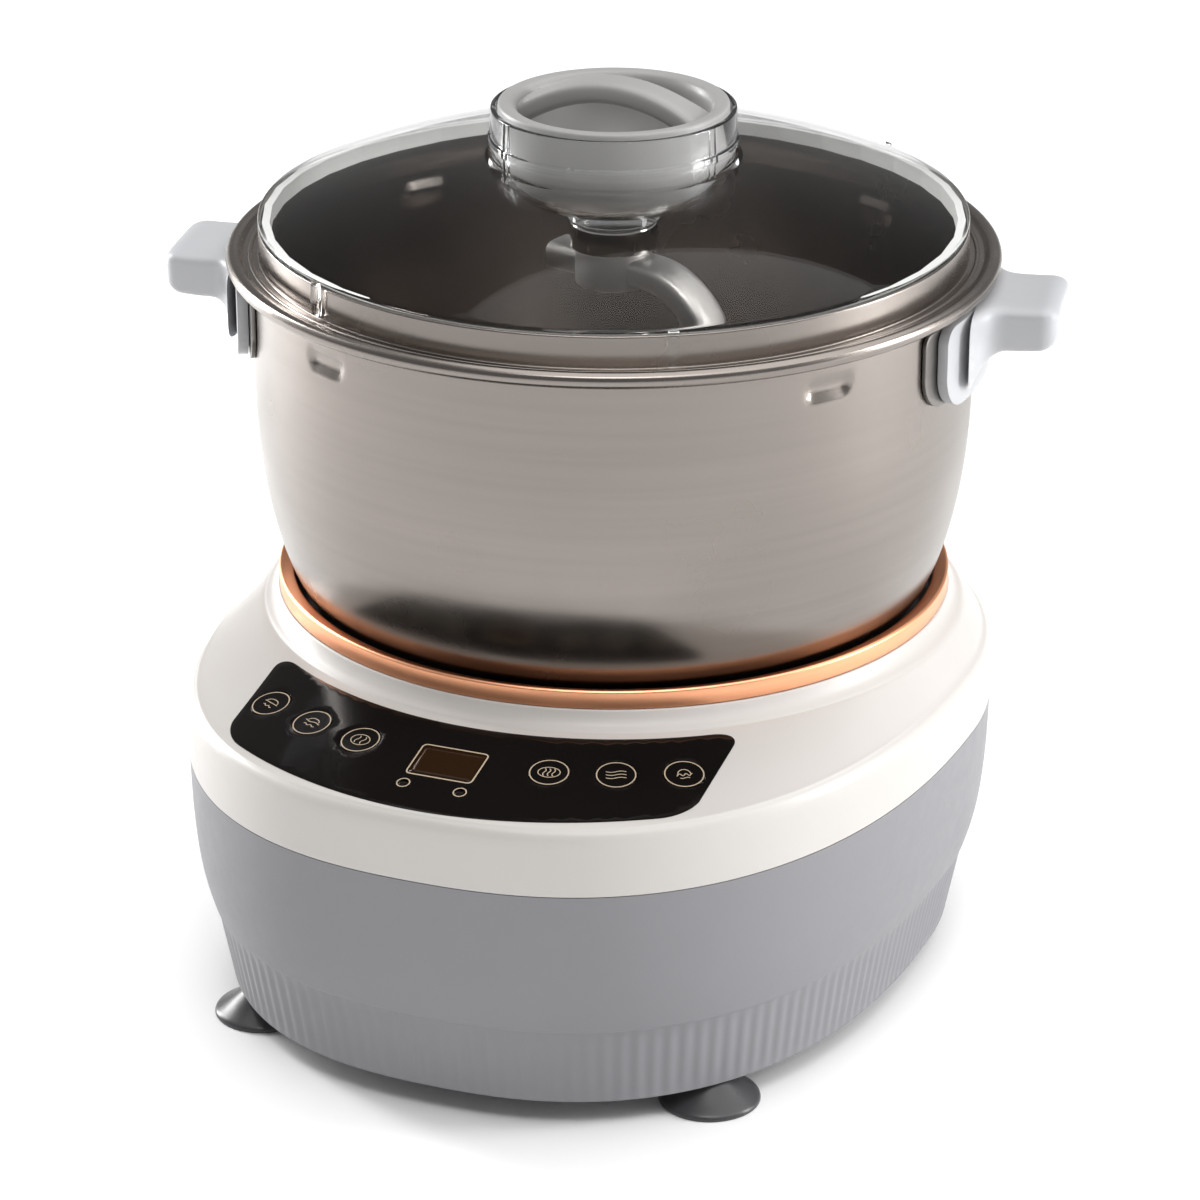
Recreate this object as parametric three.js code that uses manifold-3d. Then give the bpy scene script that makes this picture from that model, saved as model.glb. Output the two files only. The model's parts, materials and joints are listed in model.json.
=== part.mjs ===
// A countertop dough maker: a white and grey body with a belt drive and a warming plate inside,
// a brushed steel bowl with two grips that lifts out of a copper coloured ring, a clear lid with
// a grey cap, and a hook that is turned from below through the bowl's floor.
//
// Millimetres. +X is the machine's right, -Y its front and +Z is up. The pieces are built round
// the drive axis and then shifted together, so that the origin lies on the floor under the middle
// of the outer box.

import * as THREE from 'three';
import { mergeVertices } from 'three/addons/utils/BufferGeometryUtils.js';
import Module from 'manifold-3d';

const wasm = await Module();
wasm.setup();

// ---------------------------------------------------------------- driving sizes

const GAP = 0.3; // air between pieces that touch in the real machine
const AROUND = 40; // facets round a full turn of a large piece
const SMALL_AROUND = 16; // and of a small one

// Bowl.
const BOWL_RADIUS = 121.5;
const BOWL_DEPTH = 125; // bottom face to the middle of the rolled rim
const BOWL_WALL = 1.2;
const HEEL_INSET = 27; // the flat bottom's edge lies this far inside the wall
const HEEL_HEIGHT = 83;
const RIM_ROLL = 2.7; // radius of the rolled rim
const RIM_OVERHANG = 5.8;
const BAND_INSET = 2.5; // the upright band that locates the lid, inside the bowl's wall
const BAND_HEIGHT = 11.4;
const BAND_WALL = 1.6;
const BOWL_SINK = 7.1; // how far the bowl's bottom lies under the ring's seat

// Trim ring round the bowl.
const RING_WIDTH = 5.2;
const RING_HEIGHT = 6.2;
const RING_BEVEL = 1;
const BOWL_PLAY = 0.8; // between the bowl and the ring

// Body outline: a circle at the back and a superellipse at the front.
const SHELF = 15.7; // from the ring's outside to the body's side
const NOSE = 42; // how much further the front reaches than the sides
const OUTLINE_POWER = 2.38;

// Body heights, each counted from the one below.
const FOOT_HEIGHT = 9.5;
const RIB_HEIGHT = 28.5;
const LOWER_HEIGHT = 80.5;
const BAND_TO_CREASE = 16.5;
const SHOULDER_HEIGHT = 6;
const SLOPE_HEIGHT = 10.7;
const FLARE_HEIGHT = 5.9;
const UNDERCUT = 12.7; // the bottom edge lies this far inside the seam
const RIB_INSET = 7;
const WALL = 2.6; // thickness of both housings
const PLATE = 2.5; // thickness of the base plate

// Bowl grips.
const GRIP_ANGLE = 10.5; // degrees from straight sideways
const GRIP_REACH = 30.3; // beyond the bowl's wall
const GRIP_WIDTH = 41;
const GRIP_THICKNESS = 16.5;
const GRIP_DROP = 5; // top face below the rim's middle
const GRIP_ROUNDING = 2;
const SADDLE_WIDTH = 90;
const SADDLE_HEIGHT = 29;
const SADDLE_THICKNESS = 3.6;
const SADDLE_CORNER = 11;
const BRACKET_THICKNESS = 1.3;
const BRACKET_MARGIN = 5;

// Lid and its cap.
const LID_WALL = 1.8;
const LID_RISE = 22.3; // from the band's top to the top of the dome
const COLLAR_RADIUS = 41;
const COLLAR_HEIGHT = 16;
const WELL_DEPTH = 14.5;
const WELL_FLOOR_RADIUS = 21.5;
const WELL_ROUNDING = 16.5;
const SLEEVE_RADIUS = 15.5;
const LUG_ANGLE = 30.7; // degrees from the front, and the same at the back
const LUG_WIDTH = 4;
const LUG_THICKNESS = 2;
const CAP_PLAY = 0.6;
const CAP_RECESS = 32;
const CAP_STANDS_PROUD = 1.8;
const CAP_WALL = 3.2;
const STRAP_WIDTH = 14;
const STRAP_THICKNESS = 8;
const STRAP_RISE = 7.5; // above the cap's ring

// Hook and its spindle.
const HOOK_ANGLE = 76; // degrees from the front towards the right
const HOOK_REACH = 48;
const HOOK_WIDTH = 15;
const HOOK_THICKNESS = 10;
const HUB_RADIUS = 14.7;
const HUB_HEIGHT = 9;
const HUB_ABOVE_RIM = 10;
const SPINDLE_RADIUS = 5;
const SPINDLE_ABOVE_FLOOR = 27;
const BEARING_HOLE = 14; // radius of the hole in the bowl's floor

// Drive.
const DECK_HEIGHT = 40.5; // underside of the chassis plate above the body's bottom
const DECK_THICKNESS = 4;
const MOTOR_OFFSET = 92; // motor axis in front of the drive axis
const MOTOR_RADIUS = 36;
const MOTOR_BORE = 22;
const MOTOR_SHELL = 2.2;
const MOTOR_SHAFT_RADIUS = 4;
const FAN_HEIGHT = 4;
const SHAFT_RADIUS = 6;
const LARGE_PULLEY = 43;
const SMALL_PULLEY = 8.6;
const BELT_THICKNESS = 2.5;
const BELT_WIDTH = 10;
const BEARING_RADIUS = 14;
const BEARING_HEIGHT = 8;
const DOG_RADIUS = 20;
const DOG_HEIGHT = 10;
const DOG_BITE = 6.5; // height over which the two halves of the coupling engage

// Control panel.
const PANEL_SETBACK = 8.7; // from the ring's outside to the panel's inner edge
const PANEL_MARGIN = 4.5; // from the panel's outer edge to the front of the body
const PANEL_END = 9.07; // from the middle of the outermost key to the panel's end
const PANEL_CORNER = 8;
const PANEL_THICKNESS = 2.4;
const KEY_RADIUS = 6.7;
const KEY_DEPTH = 4;
const KEY_ANGLES = [-30.9, -22.1, -13.45, 13.45, 22.1, 30.9];
const KEY_SETBACK = 18; // from the panel's inner edge to the middle of the keys
const DISPLAY_WIDTH = 22.4;
const DISPLAY_LENGTH = 15;
const LAMP_RADIUS = 1.7;
const LAMP_SETBACK = 32.5;
const LAMP_ANGLE = 3.6;

// Feet, placed by their direction from the front and their distance inside the bottom edge.
const FOOT_RADIUS = 17;
const FOOT_STEM = 3.5;
const FOOT_INSET = 8.5;
const FOOT_ANGLES = { front_left: -34.5, front_right: 34.5, rear_left: -135, rear_right: 135 };

// ---------------------------------------------------------------- sizes worked out from them

const SEAM = FOOT_HEIGHT + LOWER_HEIGHT;
const RIB_TOP = FOOT_HEIGHT + RIB_HEIGHT;
const CREASE = SEAM + BAND_TO_CREASE;
const SLOPE_FOOT = CREASE + SHOULDER_HEIGHT;
const SLOPE_TOP = SLOPE_FOOT + SLOPE_HEIGHT;
const RING_SEAT = SLOPE_TOP + FLARE_HEIGHT;
const BOWL_BOTTOM = RING_SEAT - BOWL_SINK;
const RIM = BOWL_BOTTOM + BOWL_DEPTH; // height of the rim's middle
const BAND_RADIUS = BOWL_RADIUS - BAND_INSET;
const BAND_TOP = RIM + BAND_HEIGHT;

const RING_BOTTOM = RING_SEAT + GAP;
const RING_TOP = RING_BOTTOM + RING_HEIGHT;
const RING_INNER = bowlRadiusAt(RING_TOP) + BOWL_PLAY;
const RING_OUTER = RING_INNER + RING_WIDTH;
const PAN_REACH = RING_INNER + 1.4;
const HOUSING_BORE = PAN_REACH + GAP + 0.2;

const SIDE_REACH = RING_OUTER + SHELF;
const FRONT_REACH = SIDE_REACH + NOSE;
const AXIS_Y = (FRONT_REACH - SIDE_REACH) / 2;
const BOTTOM_REACH = SIDE_REACH - UNDERCUT;
const FLARE_RADIUS = RING_OUTER + 5.3; // foot of the flare that carries the ring
const SHOULDER_RADIUS = SIDE_REACH - 3.4; // start of the rounded shoulder

const DOME_TOP = BAND_TOP + LID_RISE;
const WELL_FLOOR = DOME_TOP - WELL_DEPTH;
const WELL_EDGE = WELL_FLOOR + WELL_ROUNDING;
const COLLAR_TOP = DOME_TOP + COLLAR_HEIGHT;
const COLLAR_BORE = COLLAR_RADIUS - LID_WALL;
const CAP_TOP = COLLAR_TOP + CAP_STANDS_PROUD;
const HUB_TOP = RIM + HUB_ABOVE_RIM;
const HUB_BOTTOM = HUB_TOP - HUB_HEIGHT;
const BOWL_FLOOR = BOWL_BOTTOM + BOWL_WALL;

const DECK = FOOT_HEIGHT + DECK_HEIGHT;
const DECK_TOP = DECK + DECK_THICKNESS;
const PULLEY_HEIGHT = BELT_WIDTH + 2;
const PULLEY_BOTTOM = DECK - PULLEY_HEIGHT - 4;
const DRIVEN_DOG_TOP = BOWL_BOTTOM - 4.5;
const DRIVEN_DOG_BOTTOM = DRIVEN_DOG_TOP - 5;
const DRIVE_DOG_TOP = DRIVEN_DOG_BOTTOM - DOG_BITE - 1;
const DRIVE_DOG_BOTTOM = DRIVE_DOG_TOP - DOG_HEIGHT;
const UPPER_BEARING = DRIVE_DOG_BOTTOM - 14;
const LOWER_BEARING = DECK_TOP + 3;
const PAN_FLOOR = BOWL_BOTTOM - 5.8;

const PANEL_INNER = RING_OUTER + PANEL_SETBACK;
const PANEL_OUTER = SIDE_REACH - 1; // radius of the outer edge, struck from its own centre
const PANEL_CENTRE = FRONT_REACH - PANEL_MARGIN - PANEL_OUTER; // in front of the drive axis
const KEY_ORBIT = PANEL_INNER + KEY_SETBACK;
const OUTERMOST_KEY = THREE.MathUtils.degToRad(KEY_ANGLES.at(-1));
const PANEL_HALF_WIDTH = KEY_ORBIT * Math.sin(OUTERMOST_KEY) + PANEL_END;
const BOARD_LEVEL = CREASE - 3; // top face of the control board
const BOARD_SHEET = 1.6;
const MOTOR_BOTTOM = DECK_TOP + GAP;
const FAN_TOP = BOARD_LEVEL - BOARD_SHEET - 4;
const FAN_BOTTOM = FAN_TOP - FAN_HEIGHT;
const MOTOR_TOP = FAN_BOTTOM - 2;

// ---------------------------------------------------------------- finishes

const finish = (color, roughness, metalness = 0) => ({ color, roughness, metalness });
const WHITE_SHELL = finish(0xd9d5d1, 0.42);
const GREY_SHELL = finish(0x868589, 0.55);
const COPPER = finish(0xc8825f, 0.3, 0.9);
const STEEL = finish(0xaaa096, 0.32, 0.9);
const POLISHED = finish(0xb9b4ad, 0.15, 0.95);
const PALE_GREY = finish(0xd0d1d4, 0.5);
const CAP_GREY = finish(0x969493, 0.5);
const CLEAR = finish(0xf2f4f5, 0.05);
const SILICONE = finish(0xe4e4e2, 0.6);
const BLACK_GLOSS = finish(0x0f0c0a, 0.08);
const DARK_AMBER = finish(0x37230f, 0.1);
const FOOT_RUBBER = finish(0x696969, 0.3);
const CAST = finish(0x96918c, 0.5, 0.4);
const BOARD_GREEN = finish(0x1f5a36, 0.5);
const BELT_RUBBER = finish(0x1c1c1c, 0.8);
const PLAIN_METAL = finish(0x9a9a9c, 0.4, 0.8);
const BRONZE = finish(0xa9804f, 0.45, 0.7);
const DARK_PLASTIC = finish(0x2c2c2e, 0.6);

// ---------------------------------------------------------------- solids

// A closed three.js geometry as a solid that can be joined and cut.
function solid(geometry) {
  const bare = geometry.index ? geometry.clone() : geometry;
  bare.deleteAttribute('normal');
  bare.deleteAttribute('uv');
  const merged = mergeVertices(bare, 1e-4);
  return new wasm.Manifold(new wasm.Mesh({
    numProp: 3,
    vertProperties: merged.attributes.position.array,
    triVerts: new Uint32Array(merged.index.array),
  }));
}

// Joins several geometries or solids into one solid.
function join(...pieces) {
  return pieces.map(asSolid).reduce((whole, next) => whole.add(next));
}

// Cuts every further piece away from the first.
function cut(piece, ...tools) {
  return tools.map(asSolid).reduce((left, tool) => left.subtract(tool), asSolid(piece));
}

function asSolid(piece) {
  return piece.isBufferGeometry ? solid(piece) : piece;
}

const group = new THREE.Group();
group.position.y = AXIS_Y;

// Adds one named sub-part to the machine.
function add(name, shape, { color, roughness, metalness }) {
  const { vertProperties, triVerts } = asSolid(shape).getMesh();
  const geometry = new THREE.BufferGeometry();
  geometry.setAttribute('position', new THREE.BufferAttribute(new Float32Array(vertProperties), 3));
  geometry.setIndex(new THREE.BufferAttribute(new Uint32Array(triVerts), 1));
  const flat = geometry.toNonIndexed();
  flat.computeVertexNormals();
  const material = new THREE.MeshStandardMaterial({ color, roughness, metalness });
  const mesh = new THREE.Mesh(flat, material);
  mesh.name = name;
  group.add(mesh);
  return mesh;
}

// Turns a profile of [radius, height] points round the vertical axis. A profile that doesn't
// start and end on the axis closes on itself.
function turned(profile, facets = AROUND) {
  const outline = profile.map(([radius, height]) => new THREE.Vector2(radius, height));
  if (outline[0].x > 0 || outline.at(-1).x > 0) outline.push(outline[0].clone());
  if (THREE.ShapeUtils.area(outline) < 0) outline.reverse();
  return new THREE.LatheGeometry(outline, facets).rotateX(Math.PI / 2);
}

// A plain ring or, with no inner radius, a disc.
function ring(inner, outer, bottom, top, facets = SMALL_AROUND) {
  return turned([[inner, bottom], [outer, bottom], [outer, top], [inner, top]], facets);
}

// An upright cylinder round (x, y).
function post(x, y, radius, bottom, top, facets = SMALL_AROUND) {
  return ring(0, radius, bottom, top, facets).translate(x, y, 0);
}

function block(x0, x1, y0, y1, z0, z1) {
  const box = new THREE.BoxGeometry(x1 - x0, y1 - y0, z1 - z0);
  return box.translate((x0 + x1) / 2, (y0 + y1) / 2, (z0 + z1) / 2);
}

// An upright prism on a flat outline.
function prism(shape, bottom, top, curveSegments = 8) {
  const settings = { depth: top - bottom, bevelEnabled: false, curveSegments };
  return new THREE.ExtrudeGeometry(shape, settings).translate(0, 0, bottom);
}

// A rectangle with rounded corners, centred on (x, y).
function roundedRectangle(x, y, width, height, corner) {
  const shape = new THREE.Shape();
  const [left, right] = [x - width / 2, x + width / 2];
  const [low, high] = [y - height / 2, y + height / 2];
  shape.moveTo(left + corner, low);
  shape.absarc(right - corner, low + corner, corner, -Math.PI / 2, 0);
  shape.absarc(right - corner, high - corner, corner, 0, Math.PI / 2);
  shape.absarc(left + corner, high - corner, corner, Math.PI / 2, Math.PI);
  shape.absarc(left + corner, low + corner, corner, Math.PI, 1.5 * Math.PI);
  return shape;
}

// Points on a quarter of an ellipse round (x, y), from one angle in degrees to another.
function arcPoints(x, y, acrossRadius, upRadius, from, to, steps) {
  return Array.from({ length: steps + 1 }, (_, i) => {
    const angle = THREE.MathUtils.degToRad(from + ((to - from) * i) / steps);
    return [x + acrossRadius * Math.cos(angle), y + upRadius * Math.sin(angle)];
  });
}

// The direction that lies `degrees` from the front towards the right, as [x, y].
function heading(degrees) {
  const angle = THREE.MathUtils.degToRad(degrees);
  return [Math.sin(angle), -Math.cos(angle)];
}

// A point at a distance from the drive axis, in that direction.
function polar(radius, degrees) {
  return heading(degrees).map((part) => part * radius);
}

// ---------------------------------------------------------------- the body's outline

// Distance from the drive axis to the outline, `angle` radians away from the front.
function outlineReach(angle) {
  const forward = Math.cos(angle);
  if (forward <= 0) return SIDE_REACH;
  const across = (Math.abs(Math.sin(angle)) / SIDE_REACH) ** OUTLINE_POWER;
  const along = (forward / FRONT_REACH) ** OUTLINE_POWER;
  return (across + along) ** (-1 / OUTLINE_POWER);
}

// Pulls a turned piece out to the body's outline. Vertices inside `still` don't move, those
// beyond `full` move the whole way, and those between move in proportion.
function followOutline(geometry, still, full) {
  const places = geometry.attributes.position;
  for (let i = 0; i < places.count; i += 1) {
    const [x, y] = [places.getX(i), places.getY(i)];
    const radius = Math.hypot(x, y);
    const share = THREE.MathUtils.clamp((radius - still) / (full - still), 0, 1);
    const moved = radius + share * (outlineReach(Math.atan2(x, -y)) - SIDE_REACH);
    const scale = radius > 0 ? moved / radius : 1;
    places.setXY(i, x * scale, y * scale);
  }
  return geometry;
}

// Height of the sloping top at a distance from the drive axis, in a direction in degrees.
function slopeHeight(radius, degrees) {
  const reach = outlineReach(THREE.MathUtils.degToRad(degrees));
  const width = reach - SIDE_REACH + SHOULDER_RADIUS - FLARE_RADIUS;
  const share = (radius - FLARE_RADIUS) / width;
  return THREE.MathUtils.lerp(SLOPE_TOP, SLOPE_FOOT, share);
}

// ---------------------------------------------------------------- housings and feet

// The side of the lower housing, `inset` inside its outer face: ribbed band, small step, then a
// wall that curves out to the seam.
function lowerSide(inset) {
  return [
    [BOTTOM_REACH - inset, FOOT_HEIGHT],
    [SIDE_REACH - RIB_INSET - inset, RIB_TOP],
    [SIDE_REACH - RIB_INSET + 0.8 - inset, RIB_TOP + 0.3],
    [SIDE_REACH - 3.8 - inset, RIB_TOP + 8],
    [SIDE_REACH - 2 - inset, RIB_TOP + 17],
    [SIDE_REACH - 0.6 - inset, RIB_TOP + 32],
    [SIDE_REACH - inset, SEAM - GAP / 2],
  ];
}

const GLAND_LEVEL = RIB_TOP + 24;
const GLAND_RADIUS = 6;
const GLAND_BORE = 3.2;
const GLAND_LENGTH = 12;

function lowerHousing() {
  const profile = [...lowerSide(0), ...lowerSide(WALL).reverse()];
  const shell = followOutline(turned(profile), BOTTOM_REACH - 20, BOTTOM_REACH - 8);
  const hole = alongY(GLAND_RADIUS + GAP, SIDE_REACH - 12, SIDE_REACH + 5, GLAND_LEVEL);
  return cut(shell, hole);
}

// A cylinder that lies along Y at a height, from one y to another.
function alongY(radius, from, to, height) {
  return ring(0, radius, from, to).rotateX(-Math.PI / 2).translate(0, 0, height);
}

function cordGland() {
  const outside = SIDE_REACH - 0.4;
  const inside = outside - GLAND_LENGTH;
  const bore = alongY(GLAND_BORE, inside - 1, outside + 1, GLAND_LEVEL);
  return cut(alongY(GLAND_RADIUS, inside, outside, GLAND_LEVEL), bore);
}

function basePlate() {
  const reach = BOTTOM_REACH - WALL - GAP;
  const top = FOOT_HEIGHT + PLATE;
  const outline = [[0, FOOT_HEIGHT], [reach, FOOT_HEIGHT], [reach + 0.4, top], [0, top]];
  const plate = followOutline(turned(outline), BOTTOM_REACH - 20, BOTTOM_REACH - 8);
  const through = (radius) => ([x, y]) => post(x, y, radius, 0, top + 5, 16);
  const stems = FOOT_PLACES.map(through(FOOT_STEM + GAP));
  const shanks = LEG_PLACES.map(through(SCREW_SHANK + GAP));
  const vents = [-2, -1, 0, 1, 2].map((row) => {
    const slot = roundedRectangle(0, -MOTOR_OFFSET + row * 9, 46, 4, 1.9);
    return prism(slot, 0, top + 5, 3);
  });
  const standoffs = STANDOFF_PLACES.map(([x, y]) => post(x, y, 3, top - 0.5, SUPPLY_LEVEL - GAP, 12));
  return join(cut(plate, ...stems, ...shanks, ...vents), ...standoffs);
}

// The flare under the ring, the sloping top, the rounded shoulder and the side band.
const upperSide = [
  [HOUSING_BORE, RING_SEAT],
  [RING_OUTER + GAP, RING_SEAT],
  [RING_OUTER + 1.4, RING_SEAT - 2.3],
  [RING_OUTER + 3, RING_SEAT - 4.4],
  [FLARE_RADIUS, SLOPE_TOP],
  [SHOULDER_RADIUS, SLOPE_FOOT],
  [SHOULDER_RADIUS + 1.7, SLOPE_FOOT - 1.2],
  [SHOULDER_RADIUS + 2.7, SLOPE_FOOT - 3.2],
  [SHOULDER_RADIUS + 3.1, CREASE],
  [SIDE_REACH, SEAM + GAP / 2],
];

const upperInside = [
  [SIDE_REACH - WALL, SEAM + GAP / 2],
  [SIDE_REACH - WALL - 0.4, CREASE - 0.4],
  [SHOULDER_RADIUS - 0.3, SLOPE_FOOT - 2.8],
  [FLARE_RADIUS - 0.4, SLOPE_TOP - WALL],
  [RING_OUTER + 1.4, RING_SEAT - 6.4],
  [RING_OUTER - 0.9, RING_SEAT - WALL - 0.6],
  [HOUSING_BORE, RING_SEAT - WALL],
];

const BOARD_BOSSES = [polar(FLARE_RADIUS - 1.1, -30), polar(FLARE_RADIUS - 1.1, 30)];

function upperHousing() {
  const shell = followOutline(turned([...upperSide, ...upperInside]), FLARE_RADIUS, SHOULDER_RADIUS);
  const window = prism(panelOutline(PANEL_INNER, PANEL_OUTER, PANEL_HALF_WIDTH, GAP), SEAM, RIM, 12);
  const bosses = BOARD_BOSSES.map(([x, y]) => post(x, y, 2.5, BOARD_LEVEL + GAP, SLOPE_TOP - 1, 12));
  return join(cut(shell, window), ...bosses);
}

function trimRing() {
  return turned([
    [RING_INNER, RING_BOTTOM],
    [RING_OUTER, RING_BOTTOM],
    [RING_OUTER, RING_TOP - RING_BEVEL],
    [RING_OUTER - RING_BEVEL, RING_TOP],
    [RING_INNER, RING_TOP - 1.4],
  ]);
}

const FOOT_PLACES = Object.values(FOOT_ANGLES).map((degrees) => {
  const edge = outlineReach(THREE.MathUtils.degToRad(degrees)) - UNDERCUT;
  return polar(edge - FOOT_INSET, degrees);
});

// A flared suction foot whose stem passes up through the base plate.
function foot([x, y]) {
  const profile = [
    [0, 1.2],
    [FOOT_RADIUS - 5, 0.6],
    [FOOT_RADIUS - 3, 0],
    [FOOT_RADIUS, 0],
    [FOOT_RADIUS - 0.3, 1.4],
    [FOOT_RADIUS - 4.5, 4.2],
    [FOOT_RADIUS - 9, FOOT_HEIGHT - 1.6],
    [FOOT_STEM + 3, FOOT_HEIGHT - GAP],
    [FOOT_STEM, FOOT_HEIGHT - GAP],
    [FOOT_STEM, FOOT_HEIGHT + 5],
    [0, FOOT_HEIGHT + 5],
  ];
  return turned(profile, SMALL_AROUND).translate(x, y, 0);
}

// ---------------------------------------------------------------- chassis, motor and belt

const SCREW_SHANK = 1.8;
const SCREW_HEAD = 3.8;
const SCREW_LENGTH = 18;
const LEG_BACK = 42;
const LEG_FRONT = -MOTOR_OFFSET - 20;
const LEG_PLACES = [[-55, LEG_FRONT], [55, LEG_FRONT], [-55, LEG_BACK], [55, LEG_BACK]];

// The plate that carries the motor and the output shaft, on four legs.
function chassisPlate() {
  const front = -MOTOR_OFFSET - MOTOR_RADIUS - 10;
  const back = LEG_BACK + 16;
  const deck = prism(roundedRectangle(0, (front + back) / 2, 136, back - front, 26), DECK, DECK_TOP, 5);
  const legs = LEG_PLACES.map(([x, y]) => post(x, y, 5.5, FOOT_HEIGHT + PLATE + GAP, DECK + 1, 16));
  const threads = LEG_PLACES.map(([x, y]) => {
    return post(x, y, SCREW_SHANK + GAP, 0, FOOT_HEIGHT + SCREW_LENGTH + 2, 16);
  });
  const shaftHole = post(0, 0, SHAFT_RADIUS + 1.5, DECK - 5, DECK_TOP + 5);
  const pinionHole = post(0, -MOTOR_OFFSET, SMALL_PULLEY + 4, DECK - 5, DECK_TOP + 5);
  return cut(join(deck, ...legs), ...threads, shaftHole, pinionHole);
}

function screw([x, y]) {
  const under = FOOT_HEIGHT - GAP;
  const profile = [
    [0, under - 1.8],
    [SCREW_HEAD - 1, under - 1.8],
    [SCREW_HEAD, under - 0.8],
    [SCREW_HEAD, under],
    [SCREW_SHANK, under],
    [SCREW_SHANK, under + SCREW_LENGTH],
    [0, under + SCREW_LENGTH],
  ];
  return turned(profile, 16).translate(x, y, 0);
}

function bearingHousing() {
  const top = UPPER_BEARING + BEARING_HEIGHT + 2;
  const bore = BEARING_RADIUS + GAP;
  return turned([
    [bore, DECK_TOP + GAP],
    [bore + 18, DECK_TOP + GAP],
    [bore + 18, DECK_TOP + 4],
    [bore + 4.5, DECK_TOP + 7],
    [bore + 4, top],
    [bore, top],
  ], 32);
}

function bearing(bottom) {
  return ring(SHAFT_RADIUS + GAP, BEARING_RADIUS, bottom, bottom + BEARING_HEIGHT, 32);
}

// A flanged belt pulley with a hub bored for its shaft.
function pulley(rim, shaft, facets) {
  const [low, high] = [PULLEY_BOTTOM, PULLEY_BOTTOM + PULLEY_HEIGHT];
  return turned([
    [shaft + GAP, low],
    [rim + 1.6, low],
    [rim + 1.6, low + 0.8],
    [rim, low + 0.8],
    [rim, high - 0.8],
    [rim + 1.6, high - 0.8],
    [rim + 1.6, high],
    [shaft + GAP, high],
  ], facets);
}

// The belt's outline round both pulleys, `offset` outside their rims.
function beltOutline(offset) {
  const big = LARGE_PULLEY + offset;
  const small = SMALL_PULLEY + offset;
  const lean = Math.asin((big - small) / MOTOR_OFFSET);
  const shape = new THREE.Shape();
  shape.absarc(0, 0, big, -lean, Math.PI + lean, false);
  shape.absarc(0, -MOTOR_OFFSET, small, Math.PI + lean, 2 * Math.PI - lean, false);
  return shape;
}

function driveBelt() {
  const bottom = PULLEY_BOTTOM + 0.8 + GAP;
  const top = PULLEY_BOTTOM + PULLEY_HEIGHT - 0.8 - GAP;
  const outer = prism(beltOutline(GAP + BELT_THICKNESS), bottom, top, 14);
  return cut(outer, prism(beltOutline(GAP), bottom - 1, top + 1, 14));
}

const atMotor = (geometry) => geometry.translate(0, -MOTOR_OFFSET, 0);

function motorStator() {
  const hole = MOTOR_SHAFT_RADIUS + 2;
  return atMotor(turned([
    [hole, MOTOR_BOTTOM],
    [MOTOR_RADIUS - 2, MOTOR_BOTTOM],
    [MOTOR_RADIUS, MOTOR_BOTTOM + 2],
    [MOTOR_RADIUS, MOTOR_TOP],
    [MOTOR_BORE, MOTOR_TOP],
    [MOTOR_BORE, MOTOR_BOTTOM + MOTOR_SHELL],
    [hole, MOTOR_BOTTOM + MOTOR_SHELL],
  ], 32));
}

function rotorCore() {
  const bottom = MOTOR_BOTTOM + MOTOR_SHELL + 1;
  return atMotor(ring(MOTOR_SHAFT_RADIUS + GAP, MOTOR_BORE - 0.8, bottom, MOTOR_TOP - 3));
}

function motorShaft() {
  return post(0, -MOTOR_OFFSET, MOTOR_SHAFT_RADIUS, PULLEY_BOTTOM - 3, FAN_TOP + 1);
}

// A hub with eight flat blades.
function coolingFan() {
  const hub = atMotor(ring(MOTOR_SHAFT_RADIUS + GAP, 10, FAN_BOTTOM, FAN_TOP));
  const blades = Array.from({ length: 8 }, (_, i) => {
    const blade = block(8.5, MOTOR_RADIUS - 6, -0.8, 0.8, FAN_BOTTOM, FAN_TOP);
    return atMotor(blade.rotateZ(((i + 0.5) * Math.PI) / 4));
  });
  return join(hub, ...blades);
}

// ---------------------------------------------------------------- coupling under the bowl

// Three pegs, each a stretch of a ring, the first in the direction `phase` degrees.
function pegs(bottom, top, phase) {
  const half = THREE.MathUtils.degToRad(24);
  return [0, 120, 240].map((turn) => {
    const shape = new THREE.Shape();
    shape.absarc(0, 0, DOG_RADIUS - 1, -half, half, false);
    shape.absarc(0, 0, DOG_RADIUS - 11, half, -half, true);
    return prism(shape, bottom, top, 4).rotateZ(THREE.MathUtils.degToRad(turn + phase));
  });
}

function driveDog() {
  const disc = ring(SHAFT_RADIUS + GAP, DOG_RADIUS, DRIVE_DOG_BOTTOM, DRIVE_DOG_TOP, 32);
  return join(disc, ...pegs(DRIVE_DOG_TOP - 1, DRIVE_DOG_TOP + DOG_BITE, 0));
}

function drivenDog() {
  const disc = ring(SPINDLE_RADIUS + GAP, DOG_RADIUS, DRIVEN_DOG_BOTTOM, DRIVEN_DOG_TOP, 32);
  return join(disc, ...pegs(DRIVE_DOG_TOP + 1, DRIVEN_DOG_BOTTOM + 1, 60));
}

function outputShaft() {
  return post(0, 0, SHAFT_RADIUS, PULLEY_BOTTOM - 3, DRIVE_DOG_TOP - 1, 32);
}

// ---------------------------------------------------------------- warming plate

const PAN_WALL = 1.5;
const PEG_ORBIT = 61;
const PEG_RADIUS = 3;
const PEG_HEIGHT = 3;
const SENSOR_Y = 36;
const SENSOR_RADIUS = 5;

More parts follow.
